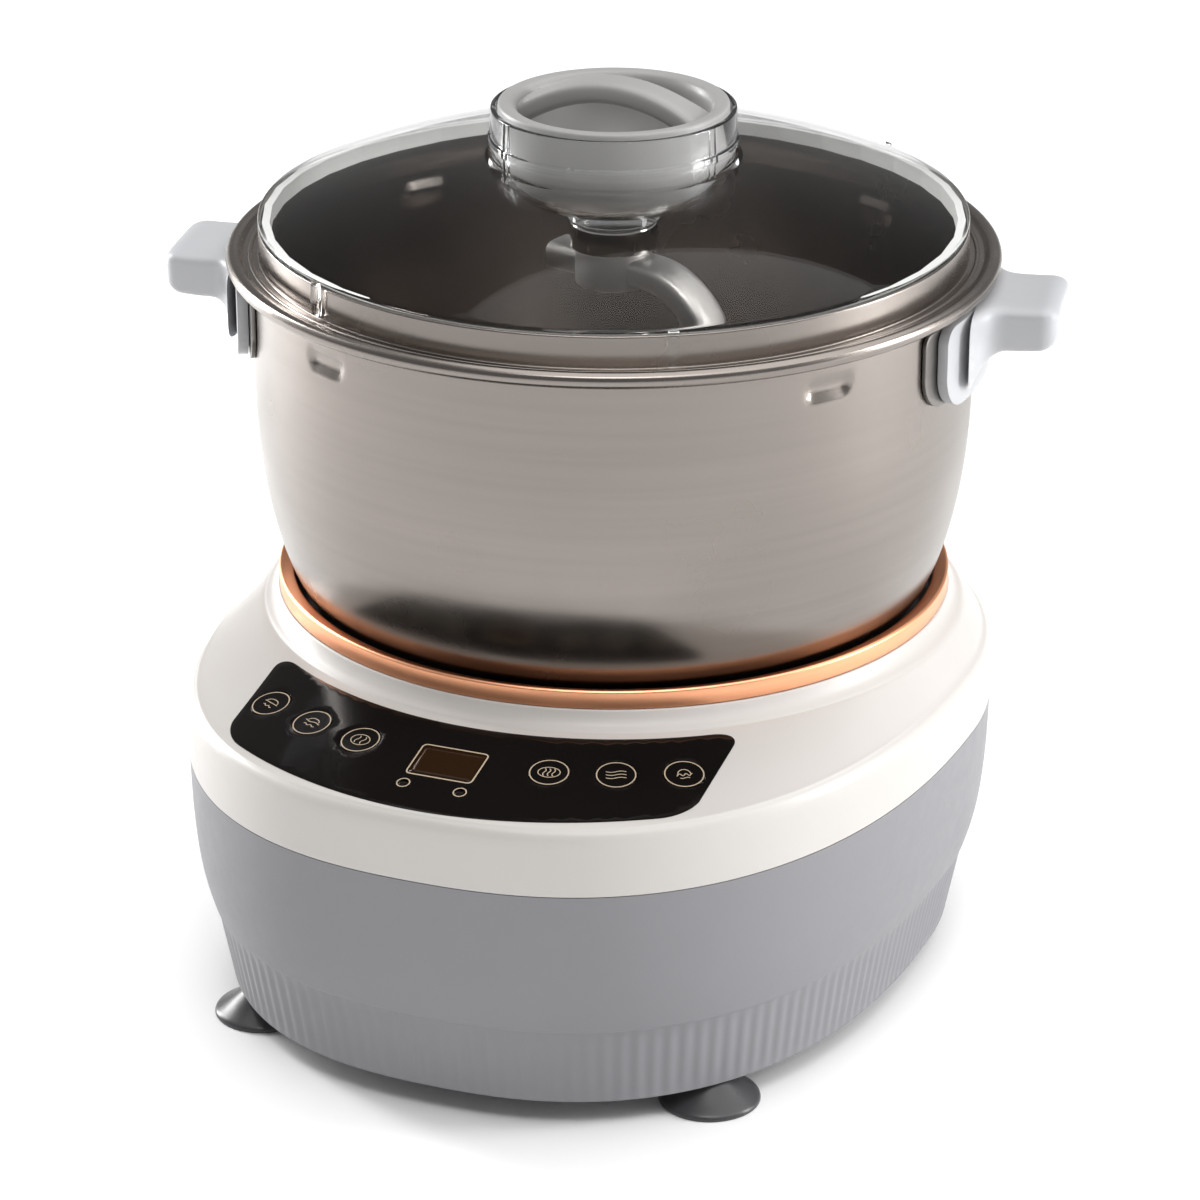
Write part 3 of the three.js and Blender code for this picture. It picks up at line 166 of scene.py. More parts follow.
COLLAR_TOP = box_of("lid")[1][2]
DOME_TOP = COLLAR_TOP - 16
COLLAR_RADIUS = 41
LID_WALL = 1.8
LID_REST = BAND_TOP + JOINT_GAP  # underside of the dome's edge
COLLAR_BORE = COLLAR_RADIUS - LID_WALL
WELL_FLOOR = DOME_TOP - 14.5
WELL_FLOOR_RADIUS = 21.5
WELL_EDGE = WELL_FLOOR + 16.5
SLEEVE_RADIUS = 15.5
LUG_HEADING = 30.7
CAP_GAP = 0.6
CAP_OUTER = COLLAR_BORE - CAP_GAP
CAP_TOP = COLLAR_TOP + 1.8
CAP_RECESS = 32
CAP_CROWN = box_of("cap")[1][2]

HUB_RADIUS = 14.7
HUB_BOTTOM, HUB_TOP = box_of("hook_hub")[0][2], box_of("hook_hub")[1][2]
HOOK_HEADING = 76
HOOK_REACH = 48
HOOK_HALF_WIDTH = 7.5
HOOK_HALF_THICKNESS = 4.8
SLEEVE_END = HUB_TOP + 0.6

FOOT_RADIUS = 17
PAN_HOLE = 24
PAN_WALL = 1.4
PEG_ORBIT = 61

SAME_PLACE = 1e-7  # points nearer than this, in metres, are merged
SHARP_ANGLE = 38  # edges that bend by more degrees than this stay sharp
SENSOR_WIDTH = 36
FRAME_SHIFT = -0.0115
FLOOR_REACH = 6.0  # in metres

# ---------------------------------------------------------------- settings


def colour_setting(name, description, default):
    return bpy.props.FloatVectorProperty(
        name=name, description=description, default=default, size=3, min=0, max=1, subtype="COLOR"
    )


def length_setting(name, description, default):
    return bpy.props.FloatProperty(
        name=name, description=description, default=default, subtype="DISTANCE", unit="LENGTH"
    )


class DoughMakerShape(bpy.types.PropertyGroup):
    """Sizes of the details that the visual pieces add."""

    flutes: bpy.props.IntProperty(
        name="Flutes", description="Upright flutes round the lower band", default=190, min=24
    )
    flute_depth: length_setting("Flute depth", "How deep the flutes are", 0.00045)
    dimple_depth: length_setting("Dimple depth", "How far the bowl's four marks are pressed", 0.0013)
    collar_rib: length_setting("Collar rib", "How far the ribs stand out of the lid's collar", 0.0004)
    print_width: length_setting("Print width", "Width of the printed lines on the panel", 0.00042)


class DoughMakerFinish(bpy.types.PropertyGroup):
    """Colours of the finishes."""

    white: colour_setting("White shell", "Upper housing", (0.57, 0.545, 0.52))
    grey: colour_setting("Grey shell", "Lower housing", (0.235, 0.231, 0.245))
    copper: colour_setting("Copper", "Ring round the bowl", (0.93, 0.43, 0.24))
    # Darker and warmer than bare steel: besides the steel's own tone, this colour holds a painted dark reflection
    # and a painted warm reflection of dough.
    steel: colour_setting("Steel", "Bowl", (0.26, 0.233, 0.213))
    grip: colour_setting("Grips", "Both grips", (0.46, 0.465, 0.48))
    cap: colour_setting("Cap", "Cap on the lid", (0.33, 0.325, 0.32))
    panel: colour_setting("Panel", "Control panel and keys", (0.006, 0.005, 0.0045))
    marks: colour_setting("Marks", "Printed lines on the panel", (0.50, 0.40, 0.29))
    feet: colour_setting("Feet", "Rubber feet", (0.05, 0.05, 0.053))


class DoughMakerStage(bpy.types.PropertyGroup):
    """Camera and lights."""

    heading: bpy.props.FloatProperty(
        name="Camera heading",
        description="Direction of the camera from the front towards the right",
        default=math.radians(21.8),
        subtype="ANGLE",
        unit="ROTATION",
    )
    distance: length_setting("Camera distance", "Level distance from the drive axis", 1.4636)
    height: length_setting("Camera height", "Height above the floor", 0.7484)
    pitch: bpy.props.FloatProperty(
        name="Camera pitch",
        description="How far the camera looks down",
        default=math.radians(23.3),
        subtype="ANGLE",
        unit="ROTATION",
    )
    focal_length: bpy.props.FloatProperty(
        name="Focal length", description="In millimetres on a 36 mm sensor", default=137.83, min=10
    )
    sky: bpy.props.FloatProperty(
        name="Sky", description="Brightness of the studio's walls", default=0.27, min=0
    )


def shape_settings():
    return bpy.context.scene.dough_maker_shape


def finish_settings():
    return bpy.context.scene.dough_maker_finish


# ---------------------------------------------------------------- meshes


def grid_faces(rows, columns, wrap_rows, wrap_columns):
    """Four corners for each cell of a grid whose points are numbered row by row."""
    row = np.arange(rows if wrap_rows else rows - 1)[:, None]
    column = np.arange(columns if wrap_columns else columns - 1)[None, :]
    next_row = (row + 1) % rows
    next_column = (column + 1) % columns
    corners = (
        row * columns + column,
        row * columns + next_column,
        next_row * columns + next_column,
        next_row * columns + column,
    )
    return np.stack(corners, axis=-1).reshape(-1, 4)


def build_mesh(name, parts):
    """One mesh from (points, faces) parts in millimetres round the drive axis. Points that lie
    in the same place are merged, and the faces are turned outwards."""
    points, faces, start = [], [], 0
    for part_points, part_faces in parts:
        points.append(part_points.reshape(-1, 3))
        faces.extend((np.asarray(part_faces) + start).tolist())
        start += len(points[-1])
    placed = (np.concatenate(points) + AXIS) * MM
    mesh = bpy.data.meshes.new(name)
    mesh.from_pydata(placed.tolist(), [], faces)
    work = bmesh.new()
    work.from_mesh(mesh)
    bmesh.ops.remove_doubles(work, verts=work.verts, dist=SAME_PLACE)
    bmesh.ops.recalc_face_normals(work, faces=work.faces)
    work.to_mesh(mesh)
    work.free()
    mesh.shade_smooth()
    mesh.set_sharp_from_angle(angle=math.radians(SHARP_ANGLE))
    return mesh


def add_piece(name, parts, body, surface, replaces=()):
    """A new piece that rides on a body, carries a finish and stands for CAD nodes."""
    piece = bpy.data.objects.new(name, build_mesh(name, parts))
    bpy.context.scene.collection.objects.link(piece)
    piece.data.materials.append(finish(surface))
    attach(piece, body)
    if replaces:
        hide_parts(*replaces)
    return piece


def replace_node(node, parts, name=None):
    """A finer piece in the place of one CAD node, on the same body and with the same finish."""
    return add_piece(name or f"{node}_shell", parts, BODY_OF_NODE[node], SLOT_OF_NODE[node], (node,))


def rounded(corners, radius, steps=5, closed=False):
    """Rounds each corner of a line of points: the corner becomes a parabola that starts and
    ends `radius` away from it, or 0.45 of the way along a shorter side."""
    line = np.array(corners, float)
    before, after = np.roll(line, 1, axis=0), np.roll(line, -1, axis=0)

    def cut_back(other):
        side = other - line
        length = np.linalg.norm(side, axis=1, keepdims=True)
        reach = np.minimum(np.broadcast_to(radius, len(line))[:, None], 0.45 * length)
        return line + side * reach / np.maximum(length, 1e-9)

    share = np.linspace(0, 1, steps)[None, :, None]
    start, end, corner = cut_back(before)[:, None], cut_back(after)[:, None], line[:, None]
    curve = (1 - share) ** 2 * start + 2 * share * (1 - share) * corner + share**2 * end
    if closed:
        return curve.reshape(-1, line.shape[1])
    return np.concatenate([line[:1], curve[1:-1].reshape(-1, line.shape[1]), line[-1:]])


def dense(line, spacing):
    """The same line with extra points, so that none is further than `spacing` from the next."""
    pieces = [
        np.linspace(start, end, max(int(np.ceil(np.linalg.norm(end - start) / spacing)), 1) + 1)[:-1]
        for start, end in zip(line[:-1], line[1:])
    ]
    return np.concatenate([*pieces, line[-1:]])


def arc(across, up, across_radius, up_radius, first, last, steps):
    """Points on an ellipse round (across, up), from one angle in degrees to another."""
    angle = np.radians(np.linspace(first, last, steps))
    return np.stack([across + across_radius * np.cos(angle), up + up_radius * np.sin(angle)], axis=1)


def around(columns):
    """Equal steps round a full turn, as headings in radians."""
    return np.linspace(0, 2 * np.pi, columns, endpoint=False)


def turned(profile, columns=96, closed=True):
    """A surface of revolution: each (radius, height) of the profile is carried round the drive
    axis. A closed profile joins its last point to its first."""
    radius, height = np.array(profile, float).T
    heading = around(columns)
    return swept_ring(np.repeat(radius[:, None], columns, 1), height, heading, closed)


def swept_ring(radius, height, heading, closed=True):
    """A surface round the drive axis from a radius for each row and heading, and a height for
    each row or for each row and heading."""
    if height.ndim == 1:
        height = np.repeat(height[:, None], len(heading), 1)
    points = np.stack([radius * np.sin(heading), -radius * np.cos(heading), height], axis=-1)
    return points, grid_faces(*radius.shape, closed, True)


def moved(part, offset):
    """The same part, shifted."""
    points, faces = part
    return points + np.array(offset, float), faces


def spun(part, degrees):
    """Turns a part round the drive axis, from +X towards +Y."""
    points, faces = part
    turn = math.radians(degrees)
    matrix = np.array([
        [math.cos(turn), math.sin(turn), 0],
        [-math.sin(turn), math.cos(turn), 0],
        [0, 0, 1],
    ])
    return points @ matrix, faces


def loft(sections):
    """A skin over closed sections, an array of (section, point, xyz), with flat ends."""
    count, size = sections.shape[:2]
    ends = [sections.mean(axis=1)[[0]], sections.mean(axis=1)[[-1]]]
    first = np.repeat(ends[0][:, None], size, 1)
    last = np.repeat(ends[1][:, None], size, 1)
    return np.concatenate([first, sections, last]), grid_faces(count + 2, size, False, True)


def ribbon(line, width, lift=0.0, closed=True):
    """A flat strip of a width along a line of (x, y) points, as two rows of (x, y, lift)."""
    line = np.array(line, float)
    if closed:
        ahead = np.roll(line, -1, axis=0) - np.roll(line, 1, axis=0)
    else:
        ahead = np.gradient(line, axis=0)
    ahead /= np.linalg.norm(ahead, axis=1, keepdims=True)
    side = np.stack([-ahead[:, 1], ahead[:, 0]], axis=1) * width / 2
    rows = np.stack([line - side, line + side])
    points = np.concatenate([rows, np.full((*rows.shape[:2], 1), lift)], axis=-1)
    return points, grid_faces(2, len(line), False, closed)


def circle(x, y, radius, steps=48):
    return np.stack([x + radius * np.sin(around(steps)), y - radius * np.cos(around(steps))], axis=1)


def rounded_rectangle(x, y, width, height, corner):
    """Outline of a rectangle with rounded corners, counted anticlockwise."""
    half_x, half_y = width / 2, height / 2
    turns = ((-1, -1), (1, -1), (1, 1), (-1, 1))
    corners = [(x + across * half_x, y + up * half_y) for across, up in turns]
    return rounded(corners, corner, steps=8, closed=True)


def smooth_step(value, low, high):
    """0 before `low` and 1 past `high`, with a level start and end: 3 s^2 - 2 s^3 between."""
    share = np.clip((value - low) / (high - low), 0, 1)
    return share * share * (3 - 2 * share)


# ---------------------------------------------------------------- the body's outline and slope


def outline_reach(heading):
    """Distance from the drive axis to the body's side: a circle behind, and in front a
    superellipse, where (across / side)^p + (along / front)^p is 1."""
    forward = np.maximum(np.cos(heading), 0)
    across = (np.abs(np.sin(heading)) / SIDE_REACH) ** OUTLINE_POWER
    along = (forward / FRONT_REACH) ** OUTLINE_POWER
    front = (across + along) ** (-1 / OUTLINE_POWER)
    return np.where(np.cos(heading) > 0, front, SIDE_REACH)


def follow_outline(radius, heading, still, full):
    """Radii for each row and heading: those under `still` stay, those over `full` move out with
    the body's outline, and those between move in proportion."""
    share = np.clip((radius - still) / (full - still), 0, 1)
    return radius + share * (outline_reach(heading) - SIDE_REACH)


def slope_height(x, y):
    """Height of the sloping top, which falls evenly from the flare to the shoulder."""
    radius = np.hypot(x, y)
    width = outline_reach(np.arctan2(x, -y)) - SIDE_REACH + SHOULDER_RADIUS - FLARE_RADIUS
    return SLOPE_TOP + (SLOPE_FOOT - SLOPE_TOP) * (radius - FLARE_RADIUS) / width


def inside_panel(x, y):
    """How far a point lies inside the panel's outline, without its rounded corners."""
    near = np.hypot(x, y) - PANEL_INNER
    far = PANEL_OUTER - np.hypot(x, y + PANEL_CENTRE)
    return np.minimum(np.minimum(near, far), PANEL_HALF_WIDTH - np.abs(x)) * (y < 0)


# ---------------------------------------------------------------- housings, ring and feet


def lower_housing_surface():
    """The ribbed band, a small step and the wall that curves out to the seam. The band's radius
    is lowered by a raised cosine round the turn, which makes the flutes."""
    settings = shape_settings()
    outer = [
        (BOTTOM_REACH, FLOOR_GAP),
        (SIDE_REACH - 7, RIB_TOP),
        (SIDE_REACH - 6.2, RIB_TOP + 0.3),
        (SIDE_REACH - 3.8, RIB_TOP + 8),
        (SIDE_REACH - 2, RIB_TOP + 17),
        (SIDE_REACH - 0.6, RIB_TOP + 32),
        (SIDE_REACH, SEAM - HALF_SEAM),
    ]
    inner = [(radius - WALL, height) for radius, height in reversed(outer)]
    smooth = rounded(outer, (1, 0.25, 0.4, 5, 6, 8, 0.4))
    profile = np.concatenate([dense(smooth, 4), np.array(inner)])
    heading = around(settings.flutes * 8)
    radius, height = profile[:, :1], profile[:, 1]
    on_band = smooth_step(height, RIB_TOP, RIB_TOP - 1.2) * smooth_step(height, FLOOR_GAP, FLOOR_GAP + 1)
    outside = np.arange(len(profile)) < len(profile) - len(inner)
    depth = settings.flute_depth / MM * (on_band * outside)[:, None]
    rows = follow_outline(radius, heading, BOTTOM_REACH - 20, BOTTOM_REACH - 8)
    return swept_ring(rows - depth * (0.5 - 0.5 * np.cos(settings.flutes * heading)), height, heading)


def upper_housing_surface():
    """The flare under the ring, the sloping top, the rounded shoulder and the side band. Under
    the control panel the top is sunk, so that the keys have room."""
    outer = [
        (HOUSING_BORE, RING_SEAT),
        (RING_OUTER + 0.3, RING_SEAT),
        (RING_OUTER + 1.4, RING_SEAT - 2.3),
        (RING_OUTER + 3, RING_SEAT - 4.4),
        (FLARE_RADIUS, SLOPE_TOP),
        (SHOULDER_RADIUS, SLOPE_FOOT),
        (SHOULDER_RADIUS + 1.7, SLOPE_FOOT - 1.2),
        (SHOULDER_RADIUS + 2.7, SLOPE_FOOT - 3.2),
        (SHOULDER_RADIUS + 3.1, CREASE),
        (SIDE_REACH, SEAM + HALF_SEAM),
    ]
    inner = [
        (SIDE_REACH - WALL, SEAM + HALF_SEAM),
        (SIDE_REACH - WALL - 0.4, CREASE - 0.4),
        (SHOULDER_RADIUS - 0.3, SLOPE_FOOT - 2.8),
        (FLARE_RADIUS - 0.4, SLOPE_TOP - WALL),
        (RING_OUTER + 1.4, RING_SEAT - 6.4),
        (RING_OUTER - 0.9, RING_SEAT - WALL - 0.6),
        (HOUSING_BORE, RING_SEAT - WALL),
    ]
    smooth = rounded(outer, (1, 0.5, 1.1, 1.4, 1.5, 1.1, 1.1, 1.1, 2.2, 0.4), steps=6)
    profile = np.concatenate([dense(smooth, 0.32), dense(np.array(inner, float), 0.5)])
    heading = around(720)
    rows = follow_outline(profile[:, :1], heading, FLARE_RADIUS, SHOULDER_RADIUS)
    inset = inside_panel(rows * np.sin(heading), -rows * np.cos(heading))
    sunk = PANEL_SINK * smooth_step(inset, SINK_START, SINK_FULL)
    return swept_ring(rows, profile[:, 1:] - sunk, heading)


def trim_ring_surface():
    """A ring with a bevelled outer edge and a top face that falls inwards."""
    corners = [
        (RING_INNER, RING_BOTTOM),
        (RING_OUTER, RING_BOTTOM),
        (RING_OUTER, RING_TOP - 0.7),
        (RING_OUTER - 0.7, RING_TOP),
        (RING_INNER + 0.3, RING_TOP - 1.3),
        (RING_INNER, RING_TOP - 1.8),
    ]
    return turned(rounded(corners, 0.3, steps=4, closed=True), 360)


def foot_surface(node):
    """A flared suction foot with a rounded lip."""
    low, high = box_of(node)
    corners = [
        (0, 1.2),
        (FOOT_RADIUS - 5, 0.6),
        (FOOT_RADIUS - 3, 0),
        (FOOT_RADIUS, 0),
        (FOOT_RADIUS - 0.2, 1.6),
        (FOOT_RADIUS - 4.5, 4.4),
        (FOOT_RADIUS - 9, FLOOR_GAP - 1.6),
        (6.5, FLOOR_GAP - JOINT_GAP),
        (3.5, FLOOR_GAP - JOINT_GAP),
        (3.5, FLOOR_GAP + 5),
        (0, FLOOR_GAP + 5),
    ]
    profile = rounded(corners, (0, 1, 0.8, 0.9, 1.2, 3, 3, 0.6, 0.4, 0.6, 0), steps=6)
    centre = (low + high) / 2
    return moved(turned(profile, 72, closed=False), (centre[0], centre[1], 0))


def cord_gland_surface():
    """A short sleeve that lies along Y, with a rounded lip."""
    low, high = box_of("cord_gland")
    centre = (low + high) / 2
    reach = (high[0] - low[0]) / 2
    back = high[1] - centre[1]
    corners = [(3.2, -back), (reach, -back), (reach, back), (3.2, back)]
    points, faces = turned(rounded(corners, 0.8, closed=True), 64)
    lying = points[..., [0, 2, 1]]
    return lying + centre, faces


# ---------------------------------------------------------------- control panel


def panel_outline():
    """The panel's edge: an arc round the drive axis, an arc round the panel's own centre and
    straight sides, with each corner drawn in along a quarter circle."""
    across = PANEL_HALF_WIDTH * np.sin(np.linspace(-np.pi / 2, np.pi / 2, 121))
    past = np.clip(np.abs(across) - (PANEL_HALF_WIDTH - PANEL_CORNER), 0, PANEL_CORNER)
    drawn_in = PANEL_CORNER - np.sqrt(PANEL_CORNER**2 - past**2)
    near = -np.sqrt(PANEL_INNER**2 - across**2) - drawn_in
    far = -PANEL_CENTRE - np.sqrt(PANEL_OUTER**2 - across**2) + drawn_in
    return np.concatenate([np.stack([across, far], 1), np.stack([across, near], 1)[::-1]])


def heading_point(radius, degrees):
    """The (x, y) point at a distance from the drive axis on a heading."""
    turn = np.radians(degrees)
    return radius * np.sin(turn), -radius * np.cos(turn)


def panel_holes():
    """Outlines of the holes for the keys, the display and the lamps."""
    keys = [circle(*heading_point(KEY_ORBIT, degrees), KEY_RADIUS + 0.2) for degrees in KEY_HEADINGS]
    lamps = [circle(*heading_point(LAMP_ORBIT, degrees), LAMP_RADIUS + 0.1, 24) for degrees in LAMP_HEADINGS]
    return [*keys, *lamps, rounded_rectangle(0, DISPLAY_Y, *DISPLAY_SIZE, 1.6)]


def within(points, outline):
    """Which points lie inside a closed outline, by counting the sides that a level ray meets."""
    x, y = points[:, :1], points[:, 1:]
    start, end = outline, np.roll(outline, -1, axis=0)
    spans = (start[:, 1] > y) != (end[:, 1] > y)
    rise = np.where(start[:, 1] == end[:, 1], 1e-9, end[:, 1] - start[:, 1])
    meets = start[:, 0] + (y - start[:, 1]) / rise * (end[:, 0] - start[:, 0])
    return (spans & (x < meets)).sum(axis=1) % 2 == 1


def flat_sheet(outline, holes, spacing):
    """A triangulated flat sheet between an outline and its holes, with inner points on a square
    grid so that it can follow a curved face."""
    loops = [outline, *holes]
    low, high = outline.min(axis=0), outline.max(axis=0)
    steps = [np.arange(low[i], high[i], spacing) for i in (0, 1)]
    lattice = np.stack(np.meshgrid(*steps), -1).reshape(-1, 2)
    edge_points = np.concatenate(loops)
    clear = np.array([np.hypot(*(edge_points - point).T).min() > 0.5 * spacing for point in lattice])
    inner = lattice[clear & within(lattice, outline)]
    points = np.concatenate([edge_points, inner])
    starts = np.cumsum([0, *map(len, loops)])
    edges = [
        (start + i, start + (i + 1) % len(loop))
        for start, loop in zip(starts, loops)
        for i in range(len(loop))
    ]
    found = delaunay_2d_cdt([Vector(point) for point in points], edges, [], 1, 1e-6)
    places = np.array([tuple(point) for point in found[0]])
    faces = np.array([face for face in found[2]])
    centres = places[faces].mean(axis=1)
    keep = within(centres, outline)
    for hole in holes:
        keep &= ~within(centres, hole)
    return places, faces[keep]


def on_slope(places, lift):
    """Puts (x, y) points on the sloping top, `lift` above it."""
    x, y = places[..., 0], places[..., 1]
    return np.stack([x, y, slope_height(x, y) + lift], axis=-1)


def give_thickness(piece, thickness, edge):
    """Gives a sheet its wall, below or inside the face it was drawn on, and rounds its edges."""
    wall = piece.modifiers.new("wall", "SOLIDIFY")
    wall.thickness = thickness * MM
    wall.offset = -1
    if edge:
        rounding = piece.modifiers.new("edge", "BEVEL")
        rounding.width = edge * MM
        rounding.segments = 2
        rounding.limit_method = "ANGLE"
        rounding.angle_limit = math.radians(50)


def face_up(piece):
    """Turns the faces of an open, nearly level sheet upwards."""
    if sum(face.normal.z for face in piece.data.polygons) < 0:
        piece.data.flip_normals()


def control_panel():
    """The black sheet on the sloping top, with holes for the keys, the display and the lamps."""
    places, faces = flat_sheet(panel_outline(), panel_holes(), 2.6)
    panel = replace_node("control_fascia", [(on_slope(places, PANEL_PROUD), faces)], "control_panel")
    face_up(panel)
    give_thickness(panel, thickness=1.4, edge=0.12)


def display():
    """The display's window, and a small domed lens in each lamp's hole."""
    outline = rounded_rectangle(0, DISPLAY_Y, DISPLAY_SIZE[0] - 0.2, DISPLAY_SIZE[1] - 0.2, 1.5)
    places, faces = flat_sheet(outline, [], 2.5)
    window = replace_node("display_window", [(on_slope(places, PANEL_PROUD - 0.1), faces)], "display_glass")
    face_up(window)
    give_thickness(window, thickness=1.2, edge=0)
    for node, heading in zip(("lamp_left", "lamp_right"), LAMP_HEADINGS):
        x, y = heading_point(LAMP_ORBIT, heading)
        face = [(LAMP_RADIUS, -0.1), (LAMP_RADIUS - 0.3, 0.15), (0, 0.2)]
        profile = [(0, -2), (LAMP_RADIUS, -2), *face]
        lens = turned(rounded(profile, 0.2, steps=4), 32, closed=False)
        replace_node(node, [moved(lens, (x, y, slope_height(x, y)))], f"{node}_lens")


def panel_print():
    """Printed lines on the panel: a frame round the display and a ring round each lamp."""
    width = shape_settings().print_width / MM
    frame_line = rounded_rectangle(0, DISPLAY_Y, DISPLAY_SIZE[0] + width, DISPLAY_SIZE[1] + width, 1.8)
    lines = [(frame_line, width * 1.25)]
    for degrees in LAMP_HEADINGS:
        ring = circle(*heading_point(LAMP_ORBIT, degrees), LAMP_RADIUS + 0.4, 32)
        lines.append((ring, width))
    parts = []
    for line, line_width in lines:
        points, faces = ribbon(line, line_width)
        parts.append((on_slope(points, PANEL_PROUD + PRINT_LIFT), faces))
    piece = add_piece("panel_print", parts, "base", "panel_print")
    face_up(piece)


def key_frame(index):
    """Middle of a key's face, and the directions across it, up it and out of it."""
    x, y = heading_point(KEY_ORBIT, KEY_HEADINGS[index])
    joint = next(j for j in frame["joints"] if j["name"] == f"key_{index + 1}_press")
    out = -np.array(joint["axis"], float)
    out /= np.linalg.norm(out)
    across = np.cross([0, 1, 0], out)
    across /= np.linalg.norm(across)
    return np.array([x, y, slope_height(x, y)]), across, np.cross(out, across), out


def on_key(part, index):
    """Carries a part drawn round the origin onto a key's face."""
    points, faces = part
    middle, across, up, out = key_frame(index)
    turn = math.radians(KEY_HEADINGS[index])
    x = points[..., :1] * math.cos(turn) + points[..., 1:2] * -math.sin(turn)
    y = points[..., :1] * math.sin(turn) + points[..., 1:2] * math.cos(turn)
    return middle + x * across + y * up + points[..., 2:] * out, faces


def key_surface(index):
    """A round key with a softened edge and a very slightly dished face."""
    face = PANEL_PROUD
    corners = [
        (0, -KEY_DEPTH),
        (KEY_RADIUS, -KEY_DEPTH),
        (KEY_RADIUS, face),
        (KEY_RADIUS - 1, face),
        (0, face - 0.1),
    ]
    return on_key(turned(rounded(corners, (0, 0.4, 0.2, 0.6, 0), steps=4), 64, closed=False), index)


def wave(length, height, turns, level, steps=28):
    """A level sine wave of a length and height, as a line of points."""
    along = np.linspace(-0.5, 0.5, steps)
    return np.stack([along * length, level + height * np.sin(2 * np.pi * turns * along)], axis=1)


def steam(offset):
    """An upright S-shaped curve."""
    along = np.linspace(-1, 1, 20)
    return np.stack([offset + 0.42 * np.sin(np.pi * along), 1.9 * along], axis=1)


def bow(width, height, level):
    """Half an ellipse over a level line."""
    return arc(0, level, width / 2, height, 0, 180, 22)


def oval(width, height):
    """An ellipse, for a closed line."""
    return arc(0, 0, width / 2, height / 2, 0, 342, 20)


def key_marks(index):
    """Generic marks: each a list of (line, closed) drawn round the key's middle."""
    marks = (
        [(bow(5.2, 1.6, 0.5), False), (wave(6.4, 0.0, 1, 0.2), False), (wave(4.2, 0.3, 2, -1.6), False)],
        [(bow(4.6, 1.5, 0.7), False), (wave(6.6, 0.25, 1.5, 0.3), False), (wave(4.8, 0.3, 2, -1.5), False)],
        [(oval(6.8, 5.4), True), (steam(-1.1), False), (steam(1.1), False)],
        [(oval(7.2, 5.2), True), (steam(-1.5), False), (steam(0), False), (steam(1.5), False)],
        [(wave(6.6, 0.35, 1, level), False) for level in (1.6, 0, -1.6)],
        [(bow(4.2, 2.4, -0.2), False), (wave(5.2, 0.5, 2.5, -0.4), False), (wave(3.2, 0.2, 1, -2), False)],
    )
    return marks[index]


def add_key(index):
    """A key, and the ring and mark that are printed on it."""
    width = shape_settings().print_width / MM
    node = f"key_{index + 1}"
    replace_node(node, [key_surface(index)], f"{node}_cap")
    lift = PANEL_PROUD + 0.06
    lines = [(circle(0, 0, KEY_RADIUS - 0.45, 64), True, width)]
    lines += [(line, closed, width * 0.8) for line, closed in key_marks(index)]
    parts = [on_key(ribbon(line, wide, lift, closed), index) for line, closed, wide in lines]
    piece = add_piece(f"{node}_print", parts, node, "panel_print")
    face_up(piece)


# ---------------------------------------------------------------- bowl


def bowl_profile():
    """The sheet's outside from the bearing hole up to the rolled rim, the gutter and the band
    that locates the lid, and then the inside back down to the hole."""
    flat = BOWL_RADIUS - HEEL_INSET
    heel_top = BOWL_BOTTOM + HEEL_HEIGHT
    under_roll = RIM - RIM_ROLL
    outside = np.concatenate([
        [(BEARING_HOLE, BOWL_BOTTOM), (flat - 10, BOWL_BOTTOM)],
        arc(flat, heel_top, HEEL_INSET, HEEL_HEIGHT, -90, 0, 34),
        dense(np.array([(BOWL_RADIUS, heel_top + 1.5), (BOWL_RADIUS, under_roll - 2.4)]), 1.9),
        [(BOWL_RADIUS + 0.5, under_roll - 1.9), (BOWL_RADIUS + 2.2, under_roll - 1.5)],
        [(BOWL_RADIUS + 3, under_roll - 1), (BOWL_RADIUS + 3.4, under_roll - 0.2)],
        arc(ROLL_RADIUS, RIM, RIM_ROLL, RIM_ROLL, -80, 148, 16),
    ])
    gutter = rounded([
        (ROLL_RADIUS - 2.6, RIM + 1.2),
        (ROLL_RADIUS - 3.2, RIM + 0.7),
        (BAND_RADIUS + 3.6, RIM + 0.7),
        (BAND_RADIUS + 3.2, RIM + 1.1),
        (BAND_RADIUS + 2.4, RIM + 1.1),
        (BAND_RADIUS + 2, RIM + 0.6),
        (BAND_RADIUS, RIM + 0.6),
        (BAND_RADIUS, BAND_TOP),
        (BAND_RADIUS - BAND_WALL, BAND_TOP),
        (BAND_RADIUS - BAND_WALL, RIM + 1),
        (BOWL_RADIUS - BOWL_WALL, under_roll - 1.8),
    ], (0.2, 0.3, 0.2, 0.2, 0.2, 0.2, 0.6, 0.6, 0.6, 3, 3), steps=5)
    inner_wall = [(BOWL_RADIUS - BOWL_WALL, under_roll - 4), (BOWL_RADIUS - BOWL_WALL, heel_top + 1.5)]
    inside = np.concatenate([
        dense(np.array(inner_wall), 2.2),
        arc(flat, heel_top, HEEL_INSET - BOWL_WALL, HEEL_HEIGHT - BOWL_WALL, 0, -90, 30),
        [(flat - 10, BOWL_BOTTOM + BOWL_WALL), (BEARING_HOLE, BOWL_BOTTOM + BOWL_WALL)],
    ])
    return np.concatenate([outside, gutter, inside])


